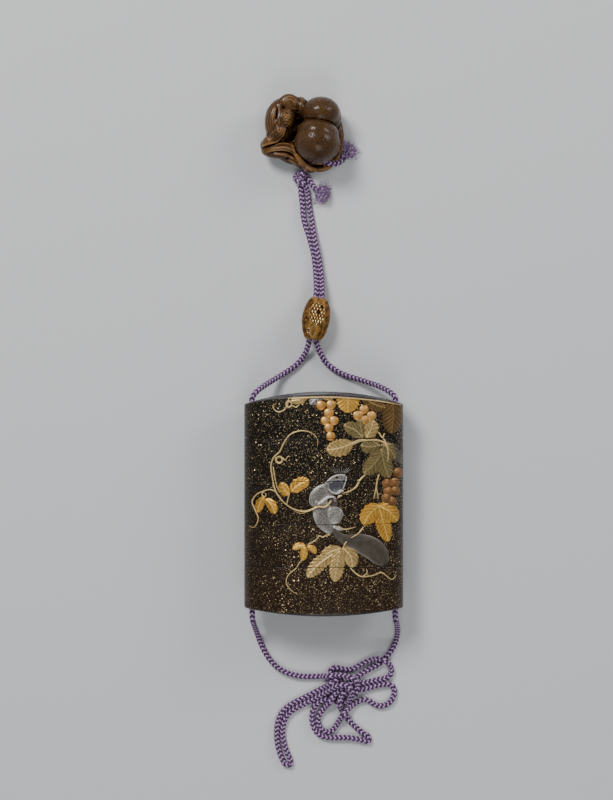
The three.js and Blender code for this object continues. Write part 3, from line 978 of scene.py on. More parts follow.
def coil(centre, radius, turns, start):
    """A tendril's curl: a shrinking spiral."""
    count = 8 * turns
    angles = [start + TURN * i / 8 for i in range(int(count) + 1)]
    shrink = [radius * (1 - 0.45 * i / count) for i in range(int(count) + 1)]
    spots = [(centre[0] + r * math.cos(t), centre[1] + r * math.sin(t)) for t, r in zip(angles, shrink)]
    tendril(spots, 0.26)


def grape(x, y, radius, colour, lift=0.0):
    bm = bmesh.new()
    bmesh.ops.create_icosphere(bm, subdivisions=4, radius=1)
    mesh = mesh_of("grape", bm)
    ball_x, ball_y, ball_z = vertex_values(mesh).T
    tall = np.where(ball_z > 0, 0.62 * np.abs(ball_z) ** 0.8, -SUNK)
    places = bend(x + ball_x * radius, y + ball_y * radius, tall + lift * (ball_z > 0))
    # painted shade darkens each grape towards its edge, and the glint is a painted highlight on its upper
    # left, carried in as its vein value
    rim = np.clip(1 - ball_z, 0, 1) ** 0.8
    glint = np.exp(-((ball_x + 0.25) ** 2 + (ball_y - 0.35) ** 2) / 0.22)
    shape_element(mesh, places, 0.15 * rng.random() + 0.8 * glint, 0.5 + 0.5 * rim, colour)
    elements["gold_relief"].append(mesh)


def grapes(centres, radius, colour):
    for number, (x, y) in enumerate(centres):
        grape(x, y, radius * (0.94 + 0.12 * rng.random()), colour, 0.08 * (number % 3))


print("tones:", EYE + 1)

# %% [markdown]
# The vine starts in the upper right corner. What lies behind is laid down first and what overlaps it
# comes later with a little more lift, so the leaves cover each other as they do in lacquer.

# %% Upper right: the vine's leaves and three bunches
tendril([(15.2, 24.6), (19.4, 24.6), (22.6, 23.4), (23.8, 20.0), (23.6, 16.4)], 0.42, lift=0.35)
tendril([(20.3, 27.6), (20.9, 26.4), (22.4, 24.6), (23.4, 22.4), (23.7, 19.8)], 0.34, lift=0.4)
tendril([(22.6, 27.2), (22.0, 26.2), (22.2, 25.0)], 0.28, lift=0.4)
lobe((-5.8, 41.6), (-12.6, 39.2), 1.9, PALE_GOLD, bow=0.08)
lobe((-0.6, 42.2), (-5.3, 38.0), 2.0, SILVER, slot="silver_relief")
lobe((5.6, 41.8), (-0.6, 40.2), 1.8, PALE_GOLD, 0.04, bow=-0.06)
grapes(
    [(2.6, 37.8), (-1.1, 37.6), (3.7, 31.9), (0.4, 31.8), (1.8, 34.7), (2.5, 26.1), (1.8, 29.2)],
    1.85, PEACH,
)
lobe((9.2, 43.6), (8.8, 34.8), 4.3, BRIGHT_GOLD, 0.05)
lobe((14.0, 41.4), (23.2, 36.4), 2.6, BROWN_GOLD, 0.05, bow=-0.08)
lobe((22.8, 41.0), (15.2, 37.2), 2.0, BROWN_GOLD)
lobe((25.3, 40.4), (25.0, 27.0), 4.1, BROWN_GOLD, 0.1, bow=0.04)
grapes([(14.9, 36.0), (12.6, 33.8), (17.7, 33.7), (15.2, 32.2)], 1.8, PEACH)
# painted highlight: a pale gold strip where the lid's top edge catches the light
tendril([(-12.6, 40.1), (-6.0, 40.5), (0.0, 40.7), (8.0, 40.4), (15.0, 39.8), (22.0, 38.9), (28.8, 37.6)],
        0.38, lift=0.55, height=0.35)  # a pale gold strip above the leaves, a painted highlight along the lid's top edge
lobe((14.6, 25.4), (7.2, 30.2), 2.7, GREY_GOLD, 0.05, bow=-0.10)
lobe((14.6, 25.6), (13.4, 32.6), 2.2, GREY_GOLD, 0.08, bow=0.05)
lobe((15.6, 25.4), (18.4, 32.2), 3.0, PALE_GOLD, 0.12, bow=-0.05)
tendril([(9.2, 22.6), (11.4, 23.7), (13.4, 24.5), (16.6, 24.6)], 0.75, PALE_GOLD, 0.1)
lobe((10.8, 23.6), (0.8, 21.0), 3.3, PALE_GOLD, 0.1, bow=0.05)
lobe((25.6, 22.4), (28.4, 15.8), 1.9, DARK_SILVER, 0.0, slot="silver_relief")
lobe((21.2, 22.8), (13.6, 22.6), 2.6, GREY_GOLD, 0.04, bow=0.08)
lobe((21.6, 20.8), (14.6, 12.2), 3.4, GREY_GOLD, 0.12, bow=0.08)
lobe((21.4, 23.2), (26.6, 17.4), 2.6, GREY_GOLD, 0.08, bow=0.10)
lobe((21.2, 21.6), (24.2, 10.4), 3.3, GREY_GOLD, 0.20, bow=-0.04)
# the third bunch is copper, duller than the peach ones: partly its own tone, partly painted shade
grapes(
    [(27.8, 12.4), (23.4, 8.4), (26.4, 8.7), (24.0, 5.3), (23.2, 2.9), (26.6, 5.6), (25.3, 1.6)],
    1.95, COPPER,
)

# the three-lobed leaf at the right, on its two stems
tendril([(20.6, 12.0), (19.9, 9.7), (19.3, 6.2), (18.5, 2.6)], 0.34)
tendril([(19.4, 7.0), (19.9, 4.8), (20.2, 2.4)], 0.3)
lobe((20.2, 0.6), (24.0, -13.4), 2.9, BRIGHT_GOLD, 0.03)
lobe((20.8, 0.4), (14.6, -7.0), 3.4, BRIGHT_GOLD, 0.14, bow=-0.08)
lobe((19.8, 0.2), (27.4, -6.0), 3.2, BRIGHT_GOLD, 0.10, bow=0.10)

print("gold elements in the upper right:", len(elements["gold_relief"]))

# %% [markdown]
# One long tendril leaves the vine, goes round the left side and crosses the squirrel, which holds on to
# it. Straight pieces would look like wire, so every tendril is a curve that thins towards its end.

# %% The long tendril and the left side
tendril([
    (-2.5, 22.3), (-2.3, 24.6), (-3.6, 26.6), (-6.4, 28.0), (-9.6, 28.0), (-12.6, 26.7), (-14.7, 24.0),
    (-16.5, 20.4), (-18.6, 18.3), (-19.7, 15.3), (-19.2, 10.9), (-18.3, 6.4), (-16.9, 3.8), (-14.7, 1.2),
    (-11.2, -1.3),
][::-1], 0.36)
tendril([(-14.9, 1.7), (-11.6, -0.7), (-7.1, -1.8), (-4.4, -1.0), (-2.3, 0.0), (0.5, 0.0), (2.8, 2.2)][::-1],
        0.44, lift=1.05, height=0.42)
tendril([(-11.4, -1.5), (-8.6, -2.5), (-5.6, -1.8)], 0.3)
tendril([(15.4, 11.8), (13.4, 9.8), (11.9, 7.2), (8.8, 5.4), (6.4, 4.9)], 0.42)
tendril([(12.0, 7.6), (12.8, 8.6), (12.4, 10.0)], 0.24)
coil((-16.6, 17.4), 1.5, 2, 2.4)
tendril([(-15.4, 18.2), (-14.4, 17.2), (-13.4, 18.6), (-12.4, 18.5)], 0.24)
tendril([(-18.9, 14.6), (-18.4, 11.6), (-17.7, 8.0), (-16.6, 5.0)], 0.26)
tendril([
    (-13.0, 40.4), (-13.8, 37.4), (-15.0, 35.8), (-16.9, 35.1), (-18.6, 36.2), (-19.0, 37.6), (-17.8, 38.2),
], 0.3)
coil((-13.0, 38.0), 1.3, 2, 0.4)
tendril([(-12.0, 37.6), (-10.4, 37.0), (-9.0, 37.9)], 0.24)

# small leaves on the left
tendril([(-13.9, 0.4), (-13.2, 3.4), (-12.6, 5.2)], 0.3)
lobe((-12.9, 4.2), (-15.9, 9.0), 2.1, BRIGHT_GOLD, bow=0.1)
lobe((-12.4, 5.4), (-5.4, 9.8), 2.6, BRIGHT_GOLD, 0.08, bow=0.08)
tendril([
    (-17.6, 5.2), (-19.6, 6.1), (-21.5, 5.9), (-25.1, 4.2), (-26.8, 1.4), (-25.6, -1.7), (-24.5, -4.9),
    (-26.1, -8.1), (-28.2, -7.6),
], 0.3)
coil((-22.2, 4.3), 1.0, 1, 1.6)
lobe((-22.2, 3.6), (-24.6, -2.6), 1.7, BRIGHT_GOLD, bow=-0.08)
lobe((-21.8, 2.8), (-18.2, -2.9), 1.9, BRIGHT_GOLD, 0.06, bow=0.1)
coil((1.4, -9.6), 1.1, 1, 4.0)
tendril([(1.0, -10.6), (-0.6, -11.4), (-1.6, -10.9), (-3.2, -12.6), (-6.6, -14.4)], 0.28)
lobe((-6.8, -14.6), (-11.8, -16.0), 1.4, BRIGHT_GOLD, bow=-0.12)
lobe((-7.0, -14.8), (-8.0, -20.3), 1.6, BRIGHT_GOLD, 0.06)
lobe((-6.4, -14.8), (-3.0, -17.6), 1.3, BRIGHT_GOLD, 0.03, bow=0.15)
tendril([
    (-8.0, -19.6), (-9.3, -21.2), (-10.2, -22.8), (-13.4, -25.8), (-14.0, -28.6), (-12.4, -31.1),
    (-9.7, -32.8),
], 0.26)

# the large pale leaf and the tendrils round it
tendril([(8.6, -12.6), (7.6, -14.2), (6.8, -16.4)], 0.34, lift=0.2)
lobe((6.4, -15.6), (-1.2, -20.4), 2.4, PALE_GOLD, bow=-0.12)
lobe((6.8, -15.2), (10.7, -22.9), 2.8, PALE_GOLD, 0.06, bow=0.14)
lobe((3.6, -17.4), (-6.4, -26.4), 2.8, PALE_GOLD, 0.12, bow=-0.05)
lobe((5.8, -16.2), (3.9, -28.1), 2.9, PALE_GOLD, 0.2)
tendril([(5.2, -7.3), (7.2, -8.4), (9.2, -8.3), (12.0, -7.6)], 0.32)
tendril([(14.6, -7.6), (13.4, -9.4), (11.6, -10.8), (9.6, -11.8)], 0.32, lift=0.2)
tendril([
    (9.6, -22.6), (11.2, -24.4), (13.8, -26.1), (17.8, -25.9), (21.5, -24.9), (23.6, -26.4), (25.4, -27.6),
    (27.2, -26.0),
], 0.3)
tendril([(14.6, -26.0), (16.0, -24.8), (15.8, -23.2)], 0.24)
print("gold elements:", len(elements["gold_relief"]))

# %% [markdown]
# The squirrel is higher relief, in silver powder with a darker tail. It is made of the same cushions: a
# back, a head, a haunch, paws and a long sweeping tail, with its fur as fine lines along each of them. Where
# a part is given shine, a painted highlight runs along its crest.

# %% Squirrel
def fur(density, shine):
    """Short soft strokes that follow the body, paler towards its edges under a cloud, partly its own tone and
    partly a painted highlight, and a painted highlight along the crest as strong as shine.
    """
    def carve(along, across, width, length):
        wave = np.sin(across * density + 1.4 * np.sin(along * 6)) * np.sin(across * 5 + along * length * 2.6)
        strokes = np.clip(wave, 0, 1) ** 1.5
        cloud = 0.6 + 0.4 * np.sin(along * length * 0.9 + across * 2.2)
        # paler towards the edges: partly the silver's own look, partly a painted highlight
        soft = 0.20 * strokes + 0.62 * cloud * np.abs(across) ** 2.4
        return np.maximum(soft, shine * (1 - across**2)), 0.03 * strokes, np.ones(len(along))
    return carve


def silver(points, half_widths, height, colour=SILVER, lift=0.0, density=30.0, shine=0.0):
    mesh = strip(points, half_widths, height, colour, lift, fur(density, shine), fine=True)
    elements["silver_relief"].append(mesh)


# The tail, then the rump and the rounded back
silver([(3.6, -7.4), (4.8, -10.2), (8.4, -12.6), (13.6, -13.8), (18.8, -16.4), (23.2, -21.8)],
       [1.3, 1.3, 1.9, 2.9, 3.7, 4.1, 4.1, 3.6, 1.6], 0.5, DARK_SILVER, density=3.0)
silver([(-0.9, 1.6), (-0.4, -2.6), (0.9, -6.6), (3.2, -9.8)], [2.6, 3.6, 3.8, 3.4, 2.4, 1.2], 0.55)
silver([(1.6, 8.4), (-0.9, 5.6), (-2.1, 2.8), (-1.9, -0.4)], [0.8, 1.9, 2.9, 3.5, 3.4, 2.2], 0.75, lift=0.1)
# The head: a dark cheek, a chin under it with a painted highlight, and the brow with its eye and an outline
# with a painted highlight
silver([(1.6, 9.4), (1.1, 7.2), (1.9, 5.2), (3.8, 4.4)], [0.7, 1.3, 1.4, 1.2, 0.7], 0.7, lift=0.25)
silver([(1.5, 8.2), (4.3, 8.0), (7.5, 8.8)], [0.9, 1.8, 2.5, 2.7, 2.4, 1.6, 0.6], 0.75, BLUE_SILVER, 0.4, 8.0)
silver([(1.4, 9.2), (4.2, 10.6), (8.0, 10.7)], [0.5, 1.0, 1.2, 1.2, 0.9], 0.6, lift=0.5)
silver([(0.2, 8.6), (1.8, 9.9), (3.2, 11.0), (5.2, 11.75), (7.8, 11.8)], [0.2, 0.4, 0.3, 0.3, 0.2], 0.4,
       lift=0.7, shine=0.8)
silver([(4.2, 10.75), (4.7, 10.85), (5.2, 10.95)], [0.3, 0.45, 0.3], 0.3, EYE, 1.0, 1.0)
silver([(6.9, 6.6), (7.5, 8.0), (8.0, 9.6), (8.3, 11.2)], [0.2, 0.3, 0.3, 0.2], 0.4, lift=0.75, shine=0.8)
silver([(1.7, 6.6), (2.7, 5.5), (4.2, 5.1), (5.6, 5.6)], [0.2, 0.4, 0.4, 0.2], 0.4, lift=0.9, shine=0.6)
# The haunch, with a curl of fur on it and the foot below, each with a painted highlight
silver([(0.9, -3.2), (3.4, -3.2), (6.7, -4.6)], [1.9, 3.1, 3.4, 3.0, 1.6], 0.8, lift=0.2, shine=0.18)
whorl = [(2.2 + 0.6 * math.cos(t), -3.0 + 0.6 * math.sin(t)) for t in np.linspace(0, 1.7 * math.pi, 9)]
silver(whorl, [0.15, 0.22, 0.15], 0.3, lift=0.95, shine=0.6)
silver([(3.2, -7.4), (5.0, -8.2), (7.0, -8.6)], [0.6, 0.9, 0.7, 0.4], 0.5, shine=0.6)
# The chest, and the arms and paws that hold the tendril, the arms and paws with painted highlights
silver([(1.6, 2.4), (3.6, 1.4), (3.9, -0.4)], [1.0, 1.6, 1.5, 0.9], 0.5, DARK_SILVER, 0.1, 8.0)
silver([(-2.6, 0.8), (-1.0, 1.6), (0.6, 3.0), (2.0, 3.7), (3.7, 3.6)], [0.4, 0.7, 0.7, 0.6, 0.3], 0.5,
       lift=0.75, shine=0.9)
silver([(3.8, 4.8), (5.2, 5.2), (6.2, 5.9), (7.2, 5.8)], [0.4, 0.65, 0.7, 0.4], 0.5, lift=0.8, shine=1.0)
silver([(3.5, 3.8), (3.9, 2.8), (4.3, 1.7)], [0.4, 0.65, 0.4], 0.45, lift=0.6)
silver([(4.9, 3.2), (5.8, 3.9), (6.7, 4.2)], [0.3, 0.5, 0.35], 0.4, PALE_GOLD, 0.7, shine=0.9)
silver([(-1.8, 6.9), (-0.7, 7.3), (0.5, 6.9)], [0.2, 0.3, 0.2], 0.3, lift=0.85, shine=0.5)
silver([(-3.4, 1.0), (-2.7, 2.0), (-2.2, 1.2)], [0.2, 0.35, 0.2], 0.3, lift=0.85, shine=0.5)
for number, lean in enumerate(np.linspace(-1.8, 2.4, 9)):
    root = (4.2 + 0.5 * number, 12.2 + 0.03 * number)
    tip = (root[0] + lean, 14.7 + 0.5 * math.sin(number * 2.1) - 0.1 * abs(lean))
    silver([root, ((root[0] + tip[0]) / 2 + 0.1, 13.6), tip], [0.13, 0.11, 0.05], 0.2, density=1.0)
print("silver elements:", len(elements["silver_relief"]))

# %% [markdown]
# The back is never seen from above. Here it is plainer than the front: one stem with a few leaves near
# each side, kept off the line on which the case lies, so that the case rests on its plain ground.

# %% The back
for side in (-1, 1):
    stem = [(14, -24), (18, -19), (19.5, -12), (17.5, -4), (19, 4), (22, 10), (21, 17), (17, 22)]
    tendril([(side * x, y) for x, y in stem], 0.36, BROWN_GOLD, back=True)
    leaves = ((18.5, -18, -4.5, 3.5), (18, -6, 6.5, 2.5), (20, 5, -5.5, 3), (21.5, 14, 5, 4.5))
    for x, y, reach, rise in leaves:
        base, tip = (side * x, y), (side * (x + reach), y + rise)
        lobe(base, tip, 2.1, BROWN_GOLD, 0.05, 0.1 * side, 0.3, back=True)
print("gold elements with the back:", len(elements["gold_relief"]))

# %% [markdown]
# Powdered metal is duller than leaf: it is grainy, and the rubbed tops of veins are brighter than the
# hollows. So each tone mixes a body colour with a vein colour by the carving. On tendril crests, grapes and
# the squirrel's shining parts that vein colour is a painted highlight. At the rim the gold tones darken, a
# painted shade, and the silver ones turn paler, a painted highlight.

# %% Relief finishes
def dusted(name, body, veins, painted_rim_colour=None, mottle=0.0, metallic=0.6, roughness=0.38):
    metal = Finish(name, metallic=metallic, coat_weight=0.12, coat_roughness=0.2, specular_ior_level=0.3)
    vein, rim = metal.uv("carving")
    grain = metal.noise(metal.here(), 5200.0, 1.0)
    cloud = metal.noise(metal.here(), 420.0, 3.0)
    painted_rim_shade = tuple(0.28 * part for part in body)
    colour = metal.mix(metal.step(cloud, 0.3, 0.7), body, tuple(0.62 * part for part in body))
    colour = metal.mix(vein, colour, veins)
    if mottle:
        patches = metal.step(metal.noise(metal.here(), 1500.0, 4.0), 0.42, 0.60)
        shadow = tuple(0.25 * part for part in body)
        colour = metal.mix(metal.times(patches, mottle), colour, shadow)
    # at the rim: painted shade on the gold tones, a pale painted highlight on the silver ones
    colour = metal.mix(metal.step(rim, 0.75, 1.0), colour, painted_rim_colour or painted_rim_shade)
    colour = metal.mix(metal.times(metal.step(grain, 0.45, 0.75), 0.35), colour, veins)
    metal.set(base_color=colour)
    metal.set(roughness=metal.math("ADD", roughness - 0.1, metal.times(grain, 0.25)))
    metal.bump(grain, 0.02 * MM, 0.5)
    return metal.material


relief_tones = [
    dusted("maki_e_bright_gold", (0.56, 0.27, 0.030), (0.92, 0.58, 0.14)),
    dusted("maki_e_brown_gold", (0.125, 0.066, 0.020), (0.27, 0.165, 0.055)),
    dusted("maki_e_grey_gold", (0.170, 0.125, 0.045), (0.38, 0.29, 0.12)),
    dusted("maki_e_pale_gold", (0.40, 0.25, 0.080), (0.82, 0.60, 0.27)),
    dusted("maki_e_peach", (0.50, 0.200, 0.028), (1.0, 0.62, 0.21)),
    # kept dull partly as painted shade on the third bunch
    dusted("maki_e_copper", (0.22, 0.095, 0.030), (0.40, 0.20, 0.075)),
    # the silver tones' rim colours are paler than their bodies: a painted highlight along their edges
    dusted("maki_e_silver", (0.135, 0.113, 0.095), (0.88, 0.83, 0.78), (0.56, 0.52, 0.47), 0.5, 0.35),
    dusted("maki_e_dark_silver", (0.095, 0.076, 0.058), (0.13, 0.11, 0.09), (0.17, 0.15, 0.125), 0.1, 0.45),
    dusted("maki_e_blue_silver", (0.072, 0.070, 0.080), (0.20, 0.20, 0.22), (0.40, 0.38, 0.38), 0.3, 0.45),
    dusted("maki_e_eye", (0.006, 0.005, 0.005), (0.012, 0.010, 0.010)),
]
print("relief finishes:", len(relief_tones))

# %% [markdown]
# Now the closed case is opened: at each joint the picture is cut in two, and each part stays with its
# tray, as on the real case.

# %% Cut the relief at the joints
RELIEF_CUT = 0.1 * MM
FEWEST_FACES = 50  # fewer are only the tip of something


def cut_at(bm, y, keep_above):
    """Cuts at one height and keeps one side."""
    parts = [*bm.verts, *bm.edges, *bm.faces]
    bmesh.ops.bisect_plane(
        bm, geom=parts, dist=1e-7, plane_co=(0, y, 0), plane_no=(0, 1, 0),
        clear_inner=keep_above, clear_outer=not keep_above,
    )


def relief_section(slot, low, high):
    bm = bmesh.new()
    for mesh in elements[slot]:
        heights = [vert.co.y for vert in mesh.vertices]
        if max(heights) > low and min(heights) < high:
            bm.from_mesh(mesh)
    bmesh.ops.remove_doubles(bm, verts=bm.verts, dist=0.003 * MM)
    cut_at(bm, low, True)
    cut_at(bm, high, False)
    open_edges = [edge for edge in bm.edges if edge.is_boundary]
    bmesh.ops.holes_fill(bm, edges=open_edges, sides=400)
    return bm


FAR = 0.1
joints = [FAR, *SEAMS, -FAR]
for number, tray in enumerate(shells):
    for slot in elements:
        section = relief_section(slot, joints[number + 1] + RELIEF_CUT, joints[number] - RELIEF_CUT)
        if len(section.faces) < FEWEST_FACES:
            section.free()
        else:
            relief = named_mesh(f"{slot}_{tray}", section, relief_tones)
            print(relief.name, len(relief.data.polygons), "faces")

# %% [markdown]
# The bead is chased metal with gilding rubbed off its hollows. It could be a lathe form with a bump map,
# but its outline is knobbly. So one closed section, outside, rolled rim, bore and rim again, is swept
# round its axis on a fine grid. The pattern then raises the outside: panels of small lozenge grains
# between smooth leaves, with a plain collar at each end. The same height goes into the UV map, so that
# the finish can be dark in the hollows and bright on the crests.

# %% Bead: section and pattern
BEAD_CENTRE = (-2.9 * MM, 70.5 * MM)
BEAD_HALF_LENGTH = 7.9
BEAD_RADIUS, BEAD_END_RADIUS, BEAD_BORE = 5.2, 2.95, 2.6  # in mm
BEAD_LEAN = math.radians(-9)
BEAD_RELIEF = 0.62  # from the hollows to the crests
BEAD_PANELS = 3
BEAD_RINGS, BEAD_COLUMNS = 190, 240
FIRST_RIM, BORE, SECOND_RIM = 0.72, 0.78, 0.94  # shares of the section at which these start
RIM_SHARE, BORE_SHARE = 0.06, 0.16


def bead_section(share):
    """Radius, place along the axis, and how far the pattern is raised, for a share of the section."""
    along = 2 * np.clip(share / FIRST_RIM, 0, 1) - 1
    swell = np.maximum(1 - np.abs(along) ** 2.1, 0) ** 0.8
    radius = BEAD_END_RADIUS + (BEAD_RADIUS - BEAD_END_RADIUS) * swell
    rim_middle = (BEAD_END_RADIUS + BEAD_BORE) / 2
    roll = (BEAD_END_RADIUS - BEAD_BORE) / 2
    first = np.clip((share - FIRST_RIM) / RIM_SHARE, 0, 1) * math.pi
    bore = np.clip((share - BORE) / BORE_SHARE, 0, 1)
    second = np.clip((share - SECOND_RIM) / RIM_SHARE, 0, 1) * math.pi
    parts = [share > SECOND_RIM, share > BORE, share > FIRST_RIM]
    radii = [rim_middle - roll * np.cos(second), BEAD_BORE, rim_middle + roll * np.cos(first)]
    radius = np.select(parts, radii, radius)
    places = [
        -BEAD_HALF_LENGTH - roll * np.sin(second), BEAD_HALF_LENGTH * (1 - 2 * bore),
        BEAD_HALF_LENGTH + roll * np.sin(first),
    ]
    y = np.select(parts, places, along * BEAD_HALF_LENGTH)
    chased = np.where(share <= FIRST_RIM, np.clip((0.93 - np.abs(along)) / 0.05, 0, 1), 0)
    return radius, y, along, chased


def bead_pattern(angle, along):
    """The chased height, 0 in the hollows to 1 on the crests."""
    turn = (angle / TURN * BEAD_PANELS + 0.5) % 1 - 0.5
    u = turn * TURN / BEAD_PANELS * BEAD_RADIUS
    v = along * BEAD_HALF_LENGTH
    ring = ((u - 0.3) / 3.1) ** 2 + ((v - 1.7) / 4.5) ** 2
    in_panel = np.clip((1 - ring) * 7, 0, 1)
    # lozenge grains in the panel, a few of them fallen out
    fan = 1 + 0.06 * (v - 1.6)
    first, second = u / fan / 1.2 + v / 2.4, u / fan / 1.2 - v / 2.4
    grain = np.abs(np.sin(first * math.pi) * np.sin(second * math.pi)) ** 0.6
    chance = np.sin(np.floor(first) * 12.9 + np.floor(second) * 78.2) * 437.5
    chance = chance - np.floor(chance)
    grain = np.where((chance < 0.16) & (v > 1.4), 0, (0.66 + 0.34 * chance) * grain)
    # a folded sheath round the panel, with a border
    sweep = 0.75 * u + 0.40 * v + np.sin(v * 0.55)
    outside = np.maximum(0.16 + 0.34 * np.abs(np.sin(sweep)) ** 0.7, 0.66 * bell(ring - 1.16, 0.12))
    # a heart-shaped leaf and a scroll below it, and pips between the panels
    heart = np.hypot(u + 0.7, (v + 4.3) * 0.8) + 0.35 * (v + 4.3)
    leaf = 0.42 + 0.24 * bell(heart - 1.25, 0.2) - 0.20 * bell(u + 0.7, 0.16)
    outside = np.where(heart < 1.5, leaf, outside)
    scroll = np.hypot(u + 2.6, v + 5.0)
    outside = np.where(scroll < 1.0, 0.75 * np.abs(np.cos(scroll * 3.4)), outside)
    pips = np.sin(v * 2.1 + 2.4 * u + 1.7 * np.sin(v * 0.9)) * np.cos(u * 2.3 - v * 0.7)
    edge = np.clip((np.abs(u - 0.3) - 3.3) * 0.9, 0, 1)
    outside = outside * (1 - edge) + edge * (0.22 + 0.34 * np.clip(pips, 0, 1))
    return in_panel * grain + (1 - in_panel) * outside


print("bead:", 2 * BEAD_HALF_LENGTH, "mm long")

# %% [markdown]
# The bead could be set upright and turned afterwards, but finished objects stay unturned. So the leaning
# place of every vertex is worked out before the mesh is made, and it rests on the ground by its widest
# part. Its finish reads the chased height: patina in the hollows, bright gold on the crests.

# %% Bead: mesh and finish
def make_bead():
    mesh, _, section_share, turn_share = wrapped_grid(BEAD_RINGS, BEAD_COLUMNS)
    angle = turn_share * TURN
    radius, y, along, chased = bead_section(section_share)
    height = bead_pattern(angle, along) * chased + (1 - chased) * 0.6
    radius = radius + np.where(chased > 0, (height - 0.5) * BEAD_RELIEF * chased, 0)
    rest = BEAD_RADIUS + BEAD_RELIEF / 2
    x, z = radius * np.sin(angle), radius * np.cos(angle)
    place = np.stack([x, y, z], axis=1) * MM
    lean = np.array(Matrix.Rotation(BEAD_LEAN, 3, "Z"))
    place = place @ lean.T + np.array((*BEAD_CENTRE, rest * MM))
    place[:, 2] = np.maximum(place[:, 2], 0.02 * MM)
    mesh.vertices.foreach_set("co", place.ravel())
    write_uv(mesh, "carving", height, chased)
    bm = bmesh.new()
    bm.from_mesh(mesh)
    bmesh.ops.remove_doubles(bm, verts=bm.verts, dist=0.002 * MM)
    return named_mesh("bead", bm, [gilt_finish()])


def gilt_finish():
    gilt = Finish("gilt_patina", metallic=0.8, specular_ior_level=0.3)
    height, _ = gilt.uv("carving")
    cloud = gilt.noise(gilt.here(), 700.0, 3.0)
    body = gilt.mix(gilt.step(cloud, 0.3, 0.7), (0.115, 0.045, 0.009), (0.36, 0.185, 0.045))
    metal = gilt.mix(gilt.step(height, 0.06, 0.42), (0.020, 0.007, 0.002), body)
    gilt.set(base_color=gilt.mix(gilt.step(height, 0.54, 0.82), metal, (1.0, 0.80, 0.42)))
    gilt.set(roughness=gilt.blend(gilt.step(height, 0.3, 0.9), 0.6, 0.27))
    gilt.bump(cloud, 0.03 * MM, 0.4)
    return gilt.material


bead = make_bead()
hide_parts("ojime")
print("bead:", len(bead.data.polygons), "faces")

# %% [markdown]
# The toggle is one block of stained boxwood: two fruits on a leaf bed, one leaf curled into a swirl at
# the upper left and another folded in pleats below it. A carver roughs out the round masses first and
# then cuts the folds with a gouge. The same order works here. Stretched spheres are melted into one skin
# by a voxel remesh, the deep openings and the cord's tunnel are cut out of it, and it is melted once
# more so that every cut edge is rounded.

# %% Toggle: masses and openings
ROUGH_VOXEL, TOGGLE_VOXEL = 0.4 * MM, 0.22 * MM
SOFTENING = 3  # rounds of smoothing after each melt
masses = [  # centre, half sizes, turn about the upright axis
    ((-2.5, 137.0, 12.4), (8.8, 7.9, 9.0), -0.35),  # the two fruits
    ((-1.1, 148.2, 10.8), (7.3, 6.1, 7.4), 0.0),
    ((3.6, 147.2, 6.8), (3.2, 5.0, 4.6), 0.0),
    ((-2.2, 140.4, 11.9), (8.1, 5.5, 8.6), -0.2),  # the lower one narrows towards the upper
    ((-12.9, 151.4, 9.4), (4.3, 4.0, 4.8), 0.3),  # the cap over the swirl
    ((-8.2, 150.6, 8.8), (2.6, 4.0, 4.6), 0.2),
    ((-1.2, 140.4, 3.0), (8.9, 13.7, 3.2), 0.0),  # the leaf bed
    ((-9.4, 140.6, 4.2), (12.0, 11.6, 4.0), 0.0),
    ((-17.0, 145.4, 7.8), (5.3, 8.6, 6.6), -0.1),  # the curled leaf and its thick stalk
    ((-14.0, 146.4, 9.6), (3.2, 4.2, 6.0), 0.0),
    ((-19.6, 138.4, 7.0), (4.8, 2.7, 4.8), 0.75),
    ((-16.4, 141.6, 8.6), (3.4, 3.6, 5.6), 0.9),
    ((-16.0, 134.6, 6.2), (7.8, 3.2, 4.8), 0.05),  # the folded leaf
    ((-10.6, 131.8, 5.0), (4.8, 2.6, 4.2), -0.75),
    ((-6.6, 129.2, 3.4), (4.4, 2.4, 3.0), -0.5),
    ((-22.2, 136.2, 5.4), (1.9, 2.6, 3.2), 0.3),
]
openings = [  # between the swirl and the fruits
    ((-9.0, 145.0, 11.0), (1.7, 1.8, 7.2), 0.0),
    ((-11.7, 139.8, 12.0), (1.7, 2.7, 7.0), -0.6),
]
TUNNEL = [(9.4, 132.8, 1.2), *LEFT_UPPER[:7], (-8.6, 121.0, 1.5)]
TUNNEL_PLAY = 0.25 * MM


def rounded_masses(parts):
    bm = bmesh.new()
    for centre, half_sizes, turn in parts:
        place = (
            Matrix.Translation([part * MM for part in centre]) @ Matrix.Rotation(turn, 4, "Z")
            @ Matrix.Diagonal([part * MM for part in half_sizes] + [1])
        )
        bmesh.ops.create_icosphere(bm, subdivisions=4, radius=1, matrix=place)
    return bm


def plain_tube(points, radius, sides=16):
    line = smooth_line(np.array(points, float) * MM, 1.0 * MM)
    mesh, ring, _, share = wrapped_grid(len(line), sides)
    wrap_round(mesh, line, ring, share, radius)
    bm = closed_tube(mesh, sides)
    bmesh.ops.recalc_face_normals(bm, faces=bm.faces)
    return bm


def melt(piece, voxel):
    """Replaces a piece's mesh by one even skin round everything in it."""
    remesh = piece.modifiers.new("melt", "REMESH")
    remesh.mode = "VOXEL"
    remesh.voxel_size = voxel
    smooth = piece.modifiers.new("soften", "SMOOTH")
    smooth.factor = 0.5
    smooth.iterations = SOFTENING
    bake(piece)


toggle = loose_object("toggle", rounded_masses(masses))
bpy.context.scene.collection.objects.link(toggle)
melt(toggle, ROUGH_VOXEL)
for cutter in (rounded_masses(openings), plain_tube(TUNNEL, CORD_DIAMETER / 2 + TUNNEL_PLAY)):
    cut_with(toggle, loose_object("cutter", cutter))
melt(toggle, TOGGLE_VOXEL)
print("toggle block:", len(toggle.data.polygons), "faces")

# %% [markdown]
# The folds run in families of near-parallel ridges. Each family is given by its first and last ridge, as
# curves seen from above, and the ones between are blended from those two. A ridge raises the skin along
# its normal, most on its line and less to each side; a negative height cuts a groove.

